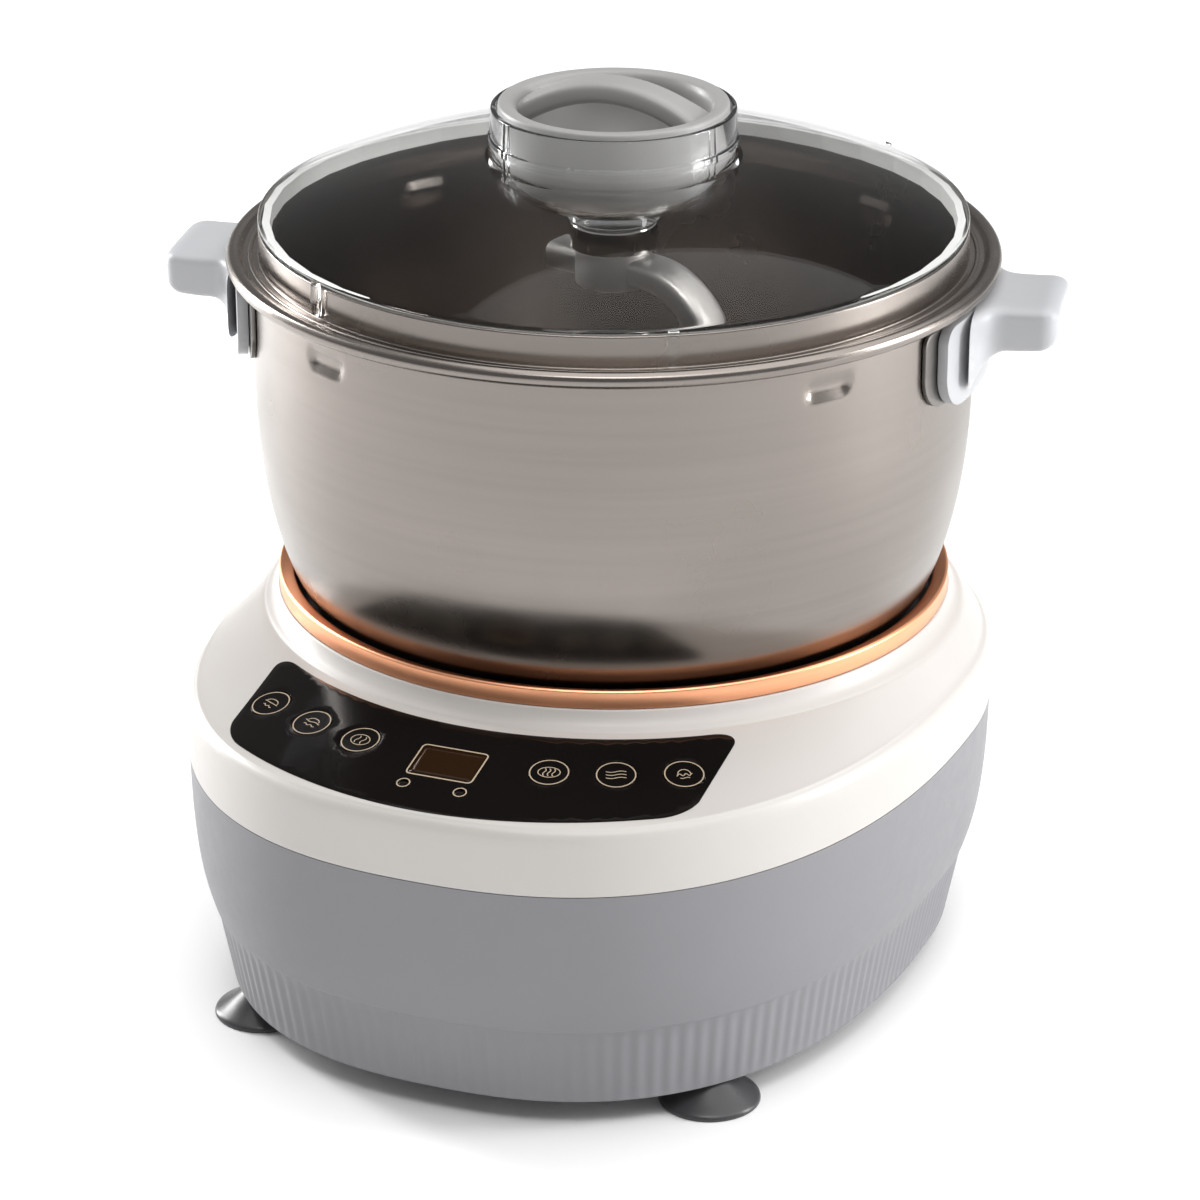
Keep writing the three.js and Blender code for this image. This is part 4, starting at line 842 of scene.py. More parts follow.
def bowl_surface():
    """The bowl turned round the axis. The upper wall is pressed in at four obround marks: the
    depth is full within half the mark's height of its middle line, and fades at its edge."""
    profile = bowl_profile()
    heading = around(540)
    radius, height = profile[:, :1], profile[:, 1:]
    on_wall = (height < RIM - RIM_ROLL - 2) & (radius > BOWL_RADIUS - BOWL_WALL - 1)
    pressed = np.zeros((len(profile), len(heading)))
    for degrees in DIMPLE_HEADINGS:
        turn = (heading - math.radians(degrees) + np.pi) % (2 * np.pi) - np.pi
        past_end = np.maximum(np.abs(turn) * BOWL_RADIUS - (DIMPLE_LENGTH - DIMPLE_HEIGHT) / 2, 0)
        off_line = np.hypot(past_end, height - DIMPLE_LEVEL)
        pressed += smooth_step(off_line, DIMPLE_HEIGHT / 2, DIMPLE_HEIGHT / 2 - 1.8)
    depth = shape_settings().dimple_depth / MM * pressed * on_wall
    return swept_ring(radius - depth, profile[:, 1], heading)


def strip_around(radius, half_width, low, high, low_corner, high_corner, heading):
    """A stretch of a cylinder: even steps across, and heights between a lower and an upper edge
    that are drawn in along a quarter circle near the ends."""
    across = half_width * np.sin(np.linspace(-np.pi / 2, np.pi / 2, 61))

    def drawn_in(corner):
        past = np.clip(np.abs(across) - (half_width - corner), 0, corner)
        return corner - np.sqrt(corner**2 - past**2)

    bottom, top = low + drawn_in(low_corner), high - drawn_in(high_corner)
    share = np.linspace(0, 1, 15)[:, None]
    height = bottom + (top - bottom) * share
    turn = math.radians(heading) + across / radius
    points = np.stack([
        np.broadcast_to(radius * np.sin(turn), height.shape),
        np.broadcast_to(-radius * np.cos(turn), height.shape),
        height,
    ], axis=-1)
    return points, grid_faces(*height.shape, False, False)


def face_out(piece):
    """Turns the faces of an open sheet away from the drive axis."""
    axis = Vector(AXIS * MM)
    if sum(face.normal.xy.dot((face.center - axis).xy) for face in piece.data.polygons) < 0:
        piece.data.flip_normals()


def beam(along, half_width, low, top, columns, power):
    """Rounded oblong sections carried along X, each with a half width and a lowest and highest
    level. The power squares them as `oblong` does."""
    side, rise = oblong(around(columns), power)
    middle, half_height = (top + low) / 2, (top - low) / 2
    return loft(np.stack([
        np.repeat(along[:, None], columns, 1),
        half_width[:, None] * side,
        middle[:, None] + half_height[:, None] * rise,
    ], axis=-1))


def grip_block(heading):
    """The grip: rounded oblong sections carried outwards. Near the bowl the section widens and
    deepens into the saddle, and at the tip it draws in along rounded corners."""
    root = SADDLE_INNER + 1.6
    along = np.concatenate([
        np.linspace(root, root + 16, 26)[:-1],
        np.linspace(root + 16, GRIP_TIP - 6, 8)[:-1],
        GRIP_TIP - 6 + 6 * np.sin(np.linspace(0, np.pi / 2, 14)),
    ])
    near = np.clip((root + 12 - along) / 12, 0, 1)
    tip = np.clip((along - (GRIP_TIP - 6)) / 6, 0, 1)
    tip_round = 1 - np.sqrt(np.maximum(1 - tip**2, 0))
    half_width = GRIP_HALF_WIDTH + 15 * near**3.2 - 5.5 * tip_round
    under_edge = np.clip((along - (GRIP_TIP - 16)) / 16, 0, 1)
    share = np.clip((along - root) / (GRIP_TIP - root), 0, 1)
    top = np.minimum(GRIP_TOP - 0.4 * np.sin(np.pi * share), GRIP_TOP) - 2.6 * tip_round
    low = GRIP_TOP - GRIP_THICKNESS - 9.5 * near**2.6 + 1.5 * under_edge**2 + 4.5 * tip_round
    return spun(beam(along, half_width, low, top, columns=72, power=1 / 3), heading)


def add_grip(name, turn):
    """A grip with its saddle, and the steel bracket under it."""
    side_turn = GRIP_TURN + turn
    heading = 90 + side_turn
    replace_node(f"grip_{name}", [grip_block(side_turn)], f"grip_{name}_block")
    saddle = strip_around(
        SADDLE_INNER + SADDLE_THICKNESS, SADDLE_HALF_WIDTH, SADDLE_BOTTOM, SADDLE_TOP, 12, 6, heading
    )
    piece = add_piece(f"grip_{name}_saddle", [saddle], "bowl", "pale_grip")
    face_out(piece)
    give_thickness(piece, SADDLE_THICKNESS, edge=1.6)
    bracket = strip_around(
        BRACKET_OUTER, SADDLE_HALF_WIDTH + 6, SADDLE_BOTTOM + 1, SADDLE_TOP - 1, 12, 4, heading
    )
    plate = replace_node(f"grip_bracket_{name}", [bracket], f"grip_{name}_bracket")
    face_out(plate)
    give_thickness(plate, BRACKET_THICKNESS, edge=0.3)


# ---------------------------------------------------------------- hook


def hook_surface():
    """The cast hook: oblong sections carried along a smooth curve that leaves the hub level,
    swings out and down, and comes back to the spindle near the bowl's floor."""
    low, high = box_of("dough_hook")[0][2], HUB_BOTTOM - JOINT_GAP
    level = high - 6.5
    knots = np.array([
        (-23, level), (-12, level), (0, level), (HOOK_REACH * 0.45, level - 1),
        (HOOK_REACH * 0.76, level - 12), (HOOK_REACH * 0.97, level - 34),
        (HOOK_REACH * 0.95, level - 58), (HOOK_REACH * 0.66, low + 17),
        (HOOK_REACH * 0.3, low + 10), (0, low + 8),
    ])
    out, height = through(knots, 14).T
    ahead = np.gradient(np.stack([out, height], 1), axis=0)
    ahead /= np.linalg.norm(ahead, axis=1, keepdims=True)
    across, rise = oblong(around(40), 0.55)
    wide, thick = HOOK_HALF_WIDTH * across, HOOK_HALF_THICKNESS * rise
    sections = np.stack([
        np.repeat(wide[None], len(out), 0),
        -(out[:, None] - ahead[:, 1:] * thick),
        height[:, None] + ahead[:, :1] * thick,
    ], axis=-1)
    boss = drum(13, high - 12.5, high, 0.8, 72)
    foot = drum(11, low, low + 18, 1.5, 64)
    return [spun(loft(sections), HOOK_HEADING), boss, foot]


def drum(radius, low, high, edge, columns):
    """An upright round block with rounded edges."""
    corners = [(0, low), (radius, low), (radius, high), (0, high)]
    return turned(rounded(corners, edge), columns, closed=False)


def through(knots, steps):
    """A smooth curve through all the knots: a Catmull-Rom spline with `steps` to each span."""
    ends = [2 * knots[:1] - knots[1:2], knots, 2 * knots[-1:] - knots[-2:-1]]
    p = np.concatenate(ends)
    t = np.linspace(0, 1, steps, endpoint=False)[None, :, None]
    a, b, c, d = (p[i:len(p) - 3 + i, None] for i in range(4))
    curve = 0.5 * (2 * b + (c - a) * t + (2 * a - 5 * b + 4 * c - d) * t**2 + (3 * b - a - 3 * c + d) * t**3)
    return np.concatenate([curve.reshape(-1, knots.shape[1]), knots[-1:]])


def hub_surface():
    """The polished hub under the lid's sleeve."""
    corners = [(0, HUB_BOTTOM), (HUB_RADIUS, HUB_BOTTOM), (HUB_RADIUS, HUB_TOP), (0, HUB_TOP)]
    return turned(rounded(corners, (0, 0.5, 1.1, 0), steps=5), 96, closed=False)


# ---------------------------------------------------------------- lid and cap


def dome_height(radius):
    """Height of the dome's outer face, flat at the collar and steeper towards the edge."""
    share = (radius - COLLAR_RADIUS) / (BAND_RADIUS - COLLAR_RADIUS)
    return DOME_TOP + (LID_REST + LID_WALL - DOME_TOP) * share**1.7


def dome_profile():
    """A closed section of the dome: its outer face, the edge that rests on the band, and its
    inner face."""
    edge = BAND_RADIUS
    outside = np.linspace(COLLAR_RADIUS + 0.9, edge - 4, 30)
    inside = np.linspace(edge - 4.5, COLLAR_RADIUS + 2, 30)
    lip = rounded([
        (edge - 3, dome_height(edge - 3)),
        (edge, LID_REST + LID_WALL),
        (edge, LID_REST),
        (edge - 4, dome_height(edge - 4) - LID_WALL),
    ], (0, 0.8, 0.6, 0), steps=5)
    return np.concatenate([
        np.stack([outside, dome_height(outside)], axis=1),
        lip,
        np.stack([inside, dome_height(inside) - LID_WALL], axis=1),
    ])


def collar_profile():
    """The well that holds the cap, the upright collar with a small step low on its outside, the
    well's underside and the sleeve over the hub."""
    across, rise = COLLAR_BORE - WELL_FLOOR_RADIUS, WELL_EDGE - WELL_FLOOR
    sleeve_top = WELL_FLOOR - LID_WALL
    collar = rounded([
        (COLLAR_BORE, WELL_EDGE + 1),
        (COLLAR_BORE, COLLAR_TOP),
        (COLLAR_RADIUS, COLLAR_TOP),
        (COLLAR_RADIUS, DOME_TOP + 6.6),
        (COLLAR_RADIUS + 0.7, DOME_TOP + 6),
        (COLLAR_RADIUS + 0.7, DOME_TOP + 4),
        (COLLAR_RADIUS, DOME_TOP + 3.4),
        (COLLAR_RADIUS, DOME_TOP - LID_WALL - 1),
    ], (0, 0.4, 0.5, 0.3, 0.2, 0.2, 0.3, 0), steps=4)
    sleeve = rounded([
        (WELL_FLOOR_RADIUS, sleeve_top),
        (SLEEVE_RADIUS, sleeve_top),
        (SLEEVE_RADIUS, SLEEVE_END),
        (SLEEVE_RADIUS - LID_WALL, SLEEVE_END),
        (SLEEVE_RADIUS - LID_WALL, sleeve_top),
        (0, sleeve_top),
    ], (0, 0.8, 0.4, 0.4, 0.8, 0), steps=4)
    under = arc(WELL_FLOOR_RADIUS, WELL_EDGE, across + LID_WALL, rise + LID_WALL, -8, -90, 14)
    return np.concatenate([
        [(0, WELL_FLOOR)],
        arc(WELL_FLOOR_RADIUS, WELL_EDGE, across, rise, -90, 0, 16),
        collar,
        under[:-1],
        sleeve,
    ])


def collar_surface():
    """The collar turned round the axis. Upright ribs stand out of it: pairs of bell-shaped
    ridges, ten to the turn."""
    profile = collar_profile()
    heading = around(720)
    radius, height = profile[:, :1], profile[:, 1:]
    on_collar = np.abs(radius - COLLAR_RADIUS) < 0.9
    on_collar &= (height > DOME_TOP + 3) & (height < COLLAR_TOP - 0.6)
    turn = np.sin(5 * heading)
    ribs = np.exp(-((turn / 0.07) ** 2)) + np.exp(-(((turn - 0.35) / 0.05) ** 2))
    rows = radius + on_collar * ribs * shape_settings().collar_rib / MM
    return swept_ring(rows, profile[:, 1], heading, closed=False)


def oblong(angle, power):
    """A unit oblong: the cosine and sine of each angle, each raised to a power with its sign
    kept, so that a power of 1 is a circle and a small one is nearly a square."""
    across = np.sign(np.cos(angle)) * np.abs(np.cos(angle)) ** power
    up = np.sign(np.sin(angle)) * np.abs(np.sin(angle)) ** power
    return across, up


def lug_surface(degrees):
    """A small clear lug outside the band: rounded oblong sections carried upwards."""
    height = np.linspace(RIM + 2.2, BAND_TOP + 2, 9)
    size = 1 - 0.16 * np.abs(np.linspace(-1, 1, 9))[:, None] ** 6
    across, along = oblong(around(28), 0.4)
    middle = BAND_RADIUS + 1.3
    sections = np.stack([
        size * 2 * across,
        -(middle + size * along),
        np.repeat(height[:, None], len(across), 1),
    ], axis=-1)
    return spun(loft(sections), degrees)


def cap_surface():
    """The cap's cup: a rounded outside that sits in the well, a thick ring and a deep recess."""
    bottom = WELL_FLOOR + CAP_GAP
    across, rise = CAP_OUTER - WELL_FLOOR_RADIUS, WELL_EDGE - bottom
    ring_top = rounded([
        (CAP_OUTER, WELL_EDGE + 1),
        (CAP_OUTER, CAP_TOP - 0.6),
        (CAP_OUTER - 1, CAP_TOP),
        (CAP_RECESS + 1.6, CAP_TOP - 0.3),
        (CAP_RECESS, CAP_TOP - 3),
        (CAP_RECESS - 0.3, WELL_EDGE + 1),
        (CAP_RECESS - 4, bottom + 8.9),
        (CAP_RECESS - 14, bottom + 4.4),
        (0, bottom + 3.2),
    ], (0, 1.4, 1.4, 1.6, 2, 4, 5, 6, 0), steps=8)
    return turned(np.concatenate([
        [(0, bottom)],
        arc(WELL_FLOOR_RADIUS, WELL_EDGE, across, rise, -90, 0, 22),
        ring_top,
    ]), 180, closed=False)


def strap_surface():
    """The arched strap: rounded oblong sections along a low arch from left to right. The
    sections widen a little where they run into the ring."""
    end = CAP_RECESS + 1.2
    along = np.linspace(-end, end, 61)
    share = along / end
    top = CAP_TOP - 3.2 + (CAP_CROWN - CAP_TOP + 3.2) * (1 - share**2)
    low = top - 8 - 1.2 * share**2
    half_width = 7 + 2.2 * np.abs(share) ** 5
    return beam(along, half_width, low, top, columns=48, power=0.62)


# ---------------------------------------------------------------- warming plate


def heater_pan_surface():
    """The dish under the bowl with its rolled corner, and three pegs."""
    low, high = box_of("heater_pan")
    reach = high[0]
    floor = low[2] + 1.5
    dish = turned(rounded([
        (PAN_HOLE, low[2]),
        (reach - 4.5, low[2]),
        (reach, low[2] + 4.8),
        (reach, high[2]),
        (reach - PAN_WALL, high[2]),
        (reach - PAN_WALL, low[2] + 5.4),
        (reach - 5.2, floor),
        (PAN_HOLE, floor),
    ], (0.5, 3, 3, 0.4, 0.4, 2, 2, 0.5), steps=5, closed=True), 180)
    peg = drum(3, floor - 0.5, floor + 3, 0.6, 24)
    return [dish, *(moved(peg, (*heading_point(PEG_ORBIT, turn), 0)) for turn in (0, 120, 240))]


# ---------------------------------------------------------------- shader node groups


def add_node(tree, kind, inputs=None, **settings):
    """Adds a node, sets its options, and sets or links its inputs by name or number."""
    node = tree.nodes.new(kind)
    for name, value in settings.items():
        setattr(node, name, value)
    for name, value in (inputs or {}).items():
        socket = node.inputs[name]
        if isinstance(value, bpy.types.NodeSocket):
            tree.links.new(value, socket)
        else:
            socket.default_value = value
    return node


def math_node(tree, operation, *values):
    """A Math node's result."""
    return add_node(tree, "ShaderNodeMath", dict(enumerate(values)), operation=operation).outputs[0]


def noise(tree, vector, scale, detail, roughness=0.5):
    """A noise texture's value."""
    return add_node(tree, "ShaderNodeTexNoise", {
        "Vector": vector, "Scale": scale, "Detail": detail, "Roughness": roughness,
    }).outputs["Fac"]


def pattern_group(name, scales, draw):
    """A shader group, made once, that turns a place and two scales into a height, a tone and a
    gloss. `draw` makes those three values."""
    group = bpy.data.node_groups.get(name)
    if group:
        return group
    group = bpy.data.node_groups.new(name, "ShaderNodeTree")
    group.interface.new_socket("Vector", in_out="INPUT", socket_type="NodeSocketVector")
    for scale in scales:
        group.interface.new_socket(scale, in_out="INPUT", socket_type="NodeSocketFloat")
    for value in ("Height", "Tone", "Gloss"):
        group.interface.new_socket(value, in_out="OUTPUT", socket_type="NodeSocketFloat")
    given, result = group.nodes.new("NodeGroupInput"), group.nodes.new("NodeGroupOutput")
    for value, socket in zip(draw(group, given.outputs), result.inputs):
        group.links.new(value, socket)
    return group


def draw_grain(group, given):
    """Fine mould texture, with slow patches of tone and finer ones of gloss."""
    return (
        noise(group, given["Vector"], given["Grain Scale"], 3.0),
        noise(group, given["Vector"], given["Patch Scale"], 2.0),
        noise(group, given["Vector"], 160.0, 4.0, roughness=0.7),
    )


def draw_lines(group, given):
    """Fine lines that run round the origin's upright axis: noise that changes quickly with
    radius and height and slowly with direction."""
    place = add_node(group, "ShaderNodeSeparateXYZ", {0: given["Vector"]}).outputs
    square = math_node(group, "ADD", math_node(group, "POWER", place["X"], 2.0),
                       math_node(group, "MULTIPLY", place["Y"], place["Y"]))
    radius = math_node(group, "SQRT", math_node(group, "ABSOLUTE", square))
    far = math_node(group, "MAXIMUM", radius, 0.001)
    level = math_node(group, "ADD", place["Z"], radius)

    def direction(side):
        share = math_node(group, "DIVIDE", place[side], far)
        return math_node(group, "MULTIPLY", share, given["Streak Scale"])

    lines = add_node(group, "ShaderNodeCombineXYZ", {
        "X": direction("X"),
        "Y": direction("Y"),
        "Z": math_node(group, "MULTIPLY", level, given["Line Scale"]),
    }).outputs[0]
    return (
        noise(group, lines, 1.0, 2.0),
        noise(group, lines, 0.12, 2.0),
        noise(group, given["Vector"], 26.0, 3.0),
    )


def moulded_grain():
    return pattern_group("Moulded grain", ("Grain Scale", "Patch Scale"), draw_grain)


def brushed_lines():
    return pattern_group("Brushed lines", ("Line Scale", "Streak Scale"), draw_lines)


def new_material(name):
    """A material with its node tree and its shader."""
    material = bpy.data.materials.new(name)
    material.use_nodes = True
    return material, material.node_tree, material.node_tree.nodes["Principled BSDF"]


def shade_of(tree, colour, factor, spread):
    """A colour that a factor makes up to `spread` darker or lighter."""
    dark = (*(max(part * (1 - spread), 0) for part in colour), 1)
    light = (*(min(part * (1 + spread), 1) for part in colour), 1)
    first, second, result = 6, 7, 2  # the colour sockets of a Mix node
    mix = add_node(tree, "ShaderNodeMix", {
        "Factor": factor, first: dark, second: light,
    }, data_type="RGBA")
    return mix.outputs[result]


def patterned(name, group, settings, colour, roughness, spread, gloss_spread, depth, metallic=0.0):
    """A material whose colour, gloss and bump follow a shared pattern round the drive axis."""
    material, tree, shader = new_material(name)
    place = add_node(tree, "ShaderNodeTexCoord").outputs["Object"]
    centred = add_node(tree, "ShaderNodeMapping", {
        "Vector": place, "Location": tuple(-AXIS * MM),
    }).outputs["Vector"]
    pattern = add_node(tree, "ShaderNodeGroup", node_tree=group)
    tree.links.new(centred, pattern.inputs["Vector"])
    for socket, value in settings.items():
        pattern.inputs[socket].default_value = value
    tree.links.new(shade_of(tree, colour, pattern.outputs["Tone"], spread), shader.inputs["Base Color"])
    gloss = add_node(tree, "ShaderNodeMapRange", {
        "Value": pattern.outputs["Gloss"], "From Min": 0.3, "From Max": 0.7,
        "To Min": roughness - gloss_spread, "To Max": roughness + gloss_spread,
    })
    tree.links.new(gloss.outputs["Result"], shader.inputs["Roughness"])
    bump = add_node(tree, "ShaderNodeBump", {
        "Height": pattern.outputs["Height"], "Strength": 1.0, "Distance": depth * MM,
    })
    tree.links.new(bump.outputs["Normal"], shader.inputs["Normal"])
    shader.inputs["Metallic"].default_value = metallic
    return material, shader


def moulded(name, colour, roughness, grain=1800.0, patches=9.0, spread=0.03, depth=0.012, coat=0.0):
    """Moulded plastic or rubber."""
    settings = {"Grain Scale": grain, "Patch Scale": patches}
    material, shader = patterned(
        name, moulded_grain(), settings, colour, roughness, spread, 0.05, depth
    )
    if coat:
        shader.inputs["Coat Weight"].default_value = coat
        shader.inputs["Coat Roughness"].default_value = 0.25
    return material


def brushed(name, colour, roughness, lines=2600.0, streaks=7.0, spread=0.10, depth=0.002, grain=0.0):
    """Metal that was brushed or turned round the drive axis."""
    settings = {"Line Scale": lines, "Streak Scale": streaks}
    material, shader = patterned(
        name, brushed_lines(), settings, colour, roughness, spread, 0.04, depth, metallic=1.0
    )
    shader.inputs["Anisotropic"].default_value = grain
    return material


def plain_metal(name, colour, roughness, depth=0.01):
    """Sheet, cast or machined metal with an even grain."""
    settings = {"Grain Scale": 900.0, "Patch Scale": 22.0}
    return patterned(
        name, moulded_grain(), settings, colour, roughness, 0.12, 0.07, depth, metallic=1.0
    )[0]


def clear_plastic(name, bend):
    """Very clear plastic with a faint even mould grain, which lets lamps light what is behind it."""
    material, tree, shader = new_material(name)
    place = add_node(tree, "ShaderNodeTexCoord").outputs["Object"]
    bump = add_node(tree, "ShaderNodeBump", {
        "Height": noise(tree, place, 60.0, 2.0), "Strength": 0.25, "Distance": 0.00004,
    })
    tree.links.new(bump.outputs["Normal"], shader.inputs["Normal"])
    shader.inputs["Base Color"].default_value = (0.985, 0.99, 0.99, 1)
    shader.inputs["Roughness"].default_value = 0.02
    shader.inputs["Transmission Weight"].default_value = 1.0
    shader.inputs["IOR"].default_value = bend
    path = add_node(tree, "ShaderNodeLightPath").outputs
    through = math_node(tree, "MAXIMUM", path["Is Shadow Ray"], path["Is Diffuse Ray"])
    mixed = add_node(tree, "ShaderNodeMixShader", {
        0: through, 1: shader.outputs[0], 2: add_node(tree, "ShaderNodeBsdfTransparent").outputs[0],
    })
    tree.links.new(mixed.outputs[0], tree.nodes["Material Output"].inputs["Surface"])
    return material


def gloss_black(name, colour):
    """High-gloss panel: near black, with a faintly uneven gloss."""
    settings = {"Grain Scale": 420.0, "Patch Scale": 14.0}
    material, shader = patterned(
        name, moulded_grain(), settings, colour, 0.10, 0.15, 0.03, 0.0008
    )
    shader.inputs["Specular IOR Level"].default_value = 0.11
    return material


def make_finish(surface, name):
    """The material for one kind of surface."""
    chosen = finish_settings()
    makers = {
        "white_shell": lambda: moulded(name, chosen.white, 0.40, coat=0.15, spread=0.02),
        "grey_shell": lambda: moulded(name, chosen.grey, 0.50, grain=1300.0, depth=0.02),
        "copper_trim": lambda: brushed(name, chosen.copper, 0.34, lines=3400.0, grain=0.4),
        # The steel colour carries a painted reflection: it is darker and warmer than bare steel.
        "bowl_steel": lambda: brushed(name, chosen.steel, 0.25, spread=0.07, grain=0.6),
        "dark_bracket": lambda: brushed(name, (0.20, 0.19, 0.18), 0.38),
        "polished_steel": lambda: brushed(name, (0.62, 0.60, 0.58), 0.12, spread=0.05),
        "pale_grip": lambda: moulded(name, chosen.grip, 0.42, spread=0.02, coat=0.1),
        "cap_grey": lambda: moulded(name, chosen.cap, 0.44, grain=1600.0, spread=0.03, coat=0.15),
        "clear_plastic": lambda: clear_plastic(name, 1.14),
        "collar_plastic": lambda: clear_plastic(name, 1.42),
        "silicone": lambda: moulded(name, (0.72, 0.72, 0.70), 0.55, depth=0.01),
        "panel_black": lambda: gloss_black(name, chosen.panel),
        "display_amber": lambda: gloss_black(name, (0.022, 0.010, 0.004)),
        "panel_print": lambda: moulded(name, chosen.marks, 0.35, spread=0.08, depth=0.002),
        "foot_rubber": lambda: moulded(name, chosen.feet, 0.32, spread=0.06, depth=0.008),
        "hook_cast": lambda: plain_metal(name, (0.36, 0.345, 0.33), 0.42),
        "inner_metal": lambda: plain_metal(name, (0.45, 0.45, 0.46), 0.38),
        "bronze": lambda: plain_metal(name, (0.50, 0.30, 0.12), 0.40),
        "dark_plastic": lambda: moulded(name, (0.022, 0.022, 0.024), 0.5, depth=0.02),
        "board_green": lambda: moulded(name, (0.012, 0.09, 0.035), 0.4, spread=0.15),
        "belt_rubber": lambda: moulded(name, (0.012, 0.012, 0.012), 0.7, depth=0.03),
    }
    return makers[surface]()


def finish(surface):
    """The material for a kind of surface, made the first time that it is asked for."""
    name = f"{surface}_finish"
    return bpy.data.materials.get(name) or make_finish(surface, name)


# ---------------------------------------------------------------- operators


class DOUGHMAKER_OT_housings(bpy.types.Operator):
    """Both housings, the copper ring and the cord gland"""

    bl_idname = "dough_maker.housings"
    bl_label = "Housings and ring"

    def execute(self, context):
        replace_node("lower_housing", [lower_housing_surface()])
        replace_node("upper_housing", [upper_housing_surface()])
        replace_node("trim_ring", [trim_ring_surface()])
        replace_node("cord_gland", [cord_gland_surface()])
        return {"FINISHED"}


class DOUGHMAKER_OT_feet(bpy.types.Operator):
    """The four suction feet"""

    bl_idname = "dough_maker.feet"
    bl_label = "Feet"

    def execute(self, context):
        for node in sorted(name for name in frame["nodes"] if name.startswith("foot_")):
            replace_node(node, [foot_surface(node)])
        return {"FINISHED"}


class DOUGHMAKER_OT_panel(bpy.types.Operator):
    """The control panel with its display, lamps and printed lines"""

    bl_idname = "dough_maker.panel"
    bl_label = "Control panel"

    def execute(self, context):
        control_panel()
        display()
        panel_print()
        return {"FINISHED"}


class DOUGHMAKER_OT_keys(bpy.types.Operator):
    """The six round keys"""

    bl_idname = "dough_maker.keys"
    bl_label = "Keys"

    def execute(self, context):
        for index in range(len(KEY_HEADINGS)):
            add_key(index)
        return {"FINISHED"}


class DOUGHMAKER_OT_bowl(bpy.types.Operator):
    """The steel bowl"""

    bl_idname = "dough_maker.bowl"
    bl_label = "Bowl"

    def execute(self, context):
        replace_node("bowl", [bowl_surface()])
        return {"FINISHED"}


class DOUGHMAKER_OT_grips(bpy.types.Operator):
    """Both grips and their steel brackets"""

    bl_idname = "dough_maker.grips"
    bl_label = "Grips"

    def execute(self, context):
        add_grip("right", 0)
        add_grip("left", 180)
        return {"FINISHED"}


class DOUGHMAKER_OT_hook(bpy.types.Operator):
    """The cast hook and its polished hub"""

    bl_idname = "dough_maker.hook"
    bl_label = "Hook"

    def execute(self, context):
        replace_node("dough_hook", hook_surface())
        replace_node("hook_hub", [hub_surface()])
        return {"FINISHED"}


class DOUGHMAKER_OT_lid(bpy.types.Operator):
    """The clear lid: its dome with the four lugs, and its collar"""

    bl_idname = "dough_maker.lid"
    bl_label = "Lid"

    def execute(self, context):
        headings = (LUG_HEADING, -LUG_HEADING, 180 - LUG_HEADING, 180 + LUG_HEADING)
        dome = turned(dome_profile(), 240)
        add_piece("lid_dome", [dome, *map(lug_surface, headings)], "lid", "clear_plastic", ("lid",))
        collar = add_piece("lid_collar", [collar_surface()], "lid", "collar_plastic", ("lid",))
        return {"FINISHED"}


class DOUGHMAKER_OT_cap(bpy.types.Operator):
    """The grey cap and its strap"""

    bl_idname = "dough_maker.cap"
    bl_label = "Cap"

    def execute(self, context):
        replace_node("cap", [cap_surface(), strap_surface()])
        return {"FINISHED"}


class DOUGHMAKER_OT_inner_parts(bpy.types.Operator):
    """The warming plate, and finishes for every CAD piece that stays in view"""

    bl_idname = "dough_maker.inner_parts"
    bl_label = "Inner parts"

    def execute(self, context):
        replace_node("heater_pan", heater_pan_surface())
        for name, node in frame["nodes"].items():
            node.data.materials.clear()
            node.data.materials.append(finish(SLOT_OF_NODE[name]))
        return {"FINISHED"}


def add_lamp(name, light, source, place=(0, 0, 0)):
    """Puts a light in the scene so that it shines away from the direction `source`."""
    lamp = bpy.data.objects.new(name, light)
    bpy.context.scene.collection.objects.link(lamp)
    lamp.location = place
    lamp.rotation_euler = source.to_track_quat("Z", "Y").to_euler()


def add_area_light(name, place, aim, size, power):
    """An oblong lamp at a place in metres that points at `aim`."""
    light = bpy.data.lights.new(name, "AREA")
    light.shape = "RECTANGLE"
    light.size, light.size_y = size
    light.energy = power
    add_lamp(name, light, Vector(place) - Vector(aim), place)


def add_sun(name, heading, tilt, softness, strength):
    """A distant lamp that shines down, tilted by some degrees towards a heading."""
    light = bpy.data.lights.new(name, "SUN")
    light.angle = math.radians(softness)
    light.energy = strength
    across, ahead = heading_point(math.sin(math.radians(tilt)), heading)
    add_lamp(name, light, Vector((across, ahead, math.cos(math.radians(tilt)))))


def add_floor():
    """A wide pale floor."""
    mesh = bpy.data.meshes.new("floor")
    sides = ((-1, -1), (1, -1), (1, 1), (-1, 1))
    corners = [(across * FLOOR_REACH, ahead * FLOOR_REACH, 0) for across, ahead in sides]
    mesh.from_pydata(corners, [], [(0, 1, 2, 3)])
    floor = bpy.data.objects.new("floor", mesh)
    bpy.context.scene.collection.objects.link(floor)
    floor.data.materials.append(moulded("pale_floor", (0.93, 0.93, 0.93), 0.7, spread=0.0, depth=0.0))


def light_the_sky(strength):
    """An even pale surround."""
    world = bpy.data.worlds.new("studio")
    world.use_nodes = True
    background = world.node_tree.nodes["Background"]
    background.inputs["Color"].default_value = (1, 1, 1, 1)
    background.inputs["Strength"].default_value = strength
    bpy.context.scene.world = world


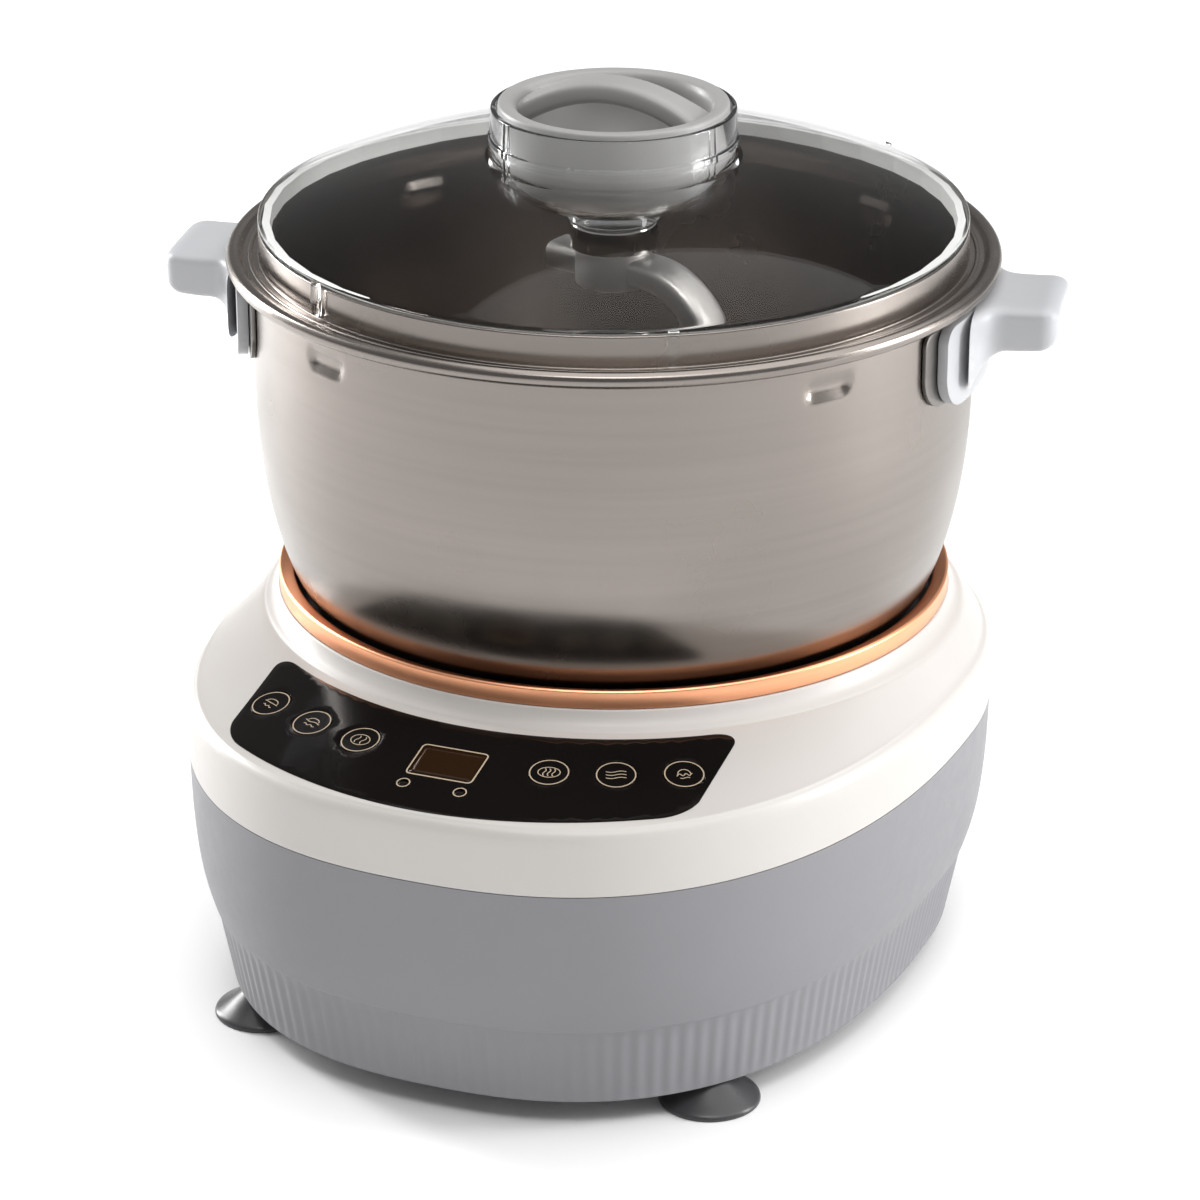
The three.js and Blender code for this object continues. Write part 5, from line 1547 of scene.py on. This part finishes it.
def add_camera(settings):
    """The camera, level with the settings' height and turned towards the drive axis."""
    turn = settings.heading
    camera = bpy.data.objects.new("camera", bpy.data.cameras.new("camera"))
    bpy.context.scene.collection.objects.link(camera)
    away = Vector((math.sin(turn), -math.cos(turn), 0)) * settings.distance
    camera.location = Vector((0, AXIS[1] * MM, settings.height)) + away
    camera.rotation_euler = (math.pi / 2 - settings.pitch, 0, turn)
    camera.data.lens = settings.focal_length
    camera.data.sensor_width = SENSOR_WIDTH
    camera.data.shift_x = FRAME_SHIFT
    bpy.context.scene.camera = camera


class DOUGHMAKER_OT_stage(bpy.types.Operator):
    """The floor, the lights and the camera"""

    bl_idname = "dough_maker.stage"
    bl_label = "Stage"

    def execute(self, context):
        settings = context.scene.dough_maker_stage
        add_floor()
        light_the_sky(settings.sky)
        add_sun("overhead", heading=118, tilt=16, softness=80, strength=2.3)
        middle, upper = (0, 0, 0.18), (0, 0, 0.25)
        add_area_light("right side", (1.35, 0.45, 0.5), middle, size=(0.4, 0.9), power=16)
        add_area_light("front top", (0.35, -0.95, 1.7), upper, size=(1.0, 0.4), power=6)
        add_area_light("left strip", (-1.2, 0.25, 0.5), middle, size=(0.25, 0.9), power=17)
        add_camera(settings)
        context.scene.view_settings.view_transform = "Standard"
        return {"FINISHED"}


class DOUGHMAKER_PT_sidebar(bpy.types.Panel):
    """Lists the settings and the steps"""

    bl_idname = "DOUGHMAKER_PT_sidebar"
    bl_label = "Dough Maker"
    bl_space_type = "VIEW_3D"
    bl_region_type = "UI"
    bl_category = "Dough Maker"

    def draw(self, context):
        scene = context.scene
        for settings in (scene.dough_maker_shape, scene.dough_maker_finish, scene.dough_maker_stage):
            for name in settings.bl_rna.properties.keys():
                if name not in ("rna_type", "name"):
                    self.layout.prop(settings, name)
        for step in STEPS:
            self.layout.operator(step.bl_idname)


SETTINGS = (DoughMakerShape, DoughMakerFinish, DoughMakerStage)
STEPS = (
    DOUGHMAKER_OT_stage,
    DOUGHMAKER_OT_housings,
    DOUGHMAKER_OT_feet,
    DOUGHMAKER_OT_panel,
    DOUGHMAKER_OT_keys,
    DOUGHMAKER_OT_bowl,
    DOUGHMAKER_OT_grips,
    DOUGHMAKER_OT_hook,
    DOUGHMAKER_OT_lid,
    DOUGHMAKER_OT_cap,
    DOUGHMAKER_OT_inner_parts,
)
CLASSES = (*SETTINGS, *STEPS, DOUGHMAKER_PT_sidebar)


def register():
    for cls in CLASSES:
        bpy.utils.register_class(cls)
    bpy.types.Scene.dough_maker_shape = bpy.props.PointerProperty(type=DoughMakerShape)
    bpy.types.Scene.dough_maker_finish = bpy.props.PointerProperty(type=DoughMakerFinish)
    bpy.types.Scene.dough_maker_stage = bpy.props.PointerProperty(type=DoughMakerStage)


def unregister():
    del bpy.types.Scene.dough_maker_stage
    del bpy.types.Scene.dough_maker_finish
    del bpy.types.Scene.dough_maker_shape
    for cls in reversed(CLASSES):
        bpy.utils.unregister_class(cls)


def main():
    register()
    for step in STEPS:
        name = step.bl_idname.split(".")[1]
        getattr(bpy.ops.dough_maker, name)()


if __name__ == "__main__":
    main()
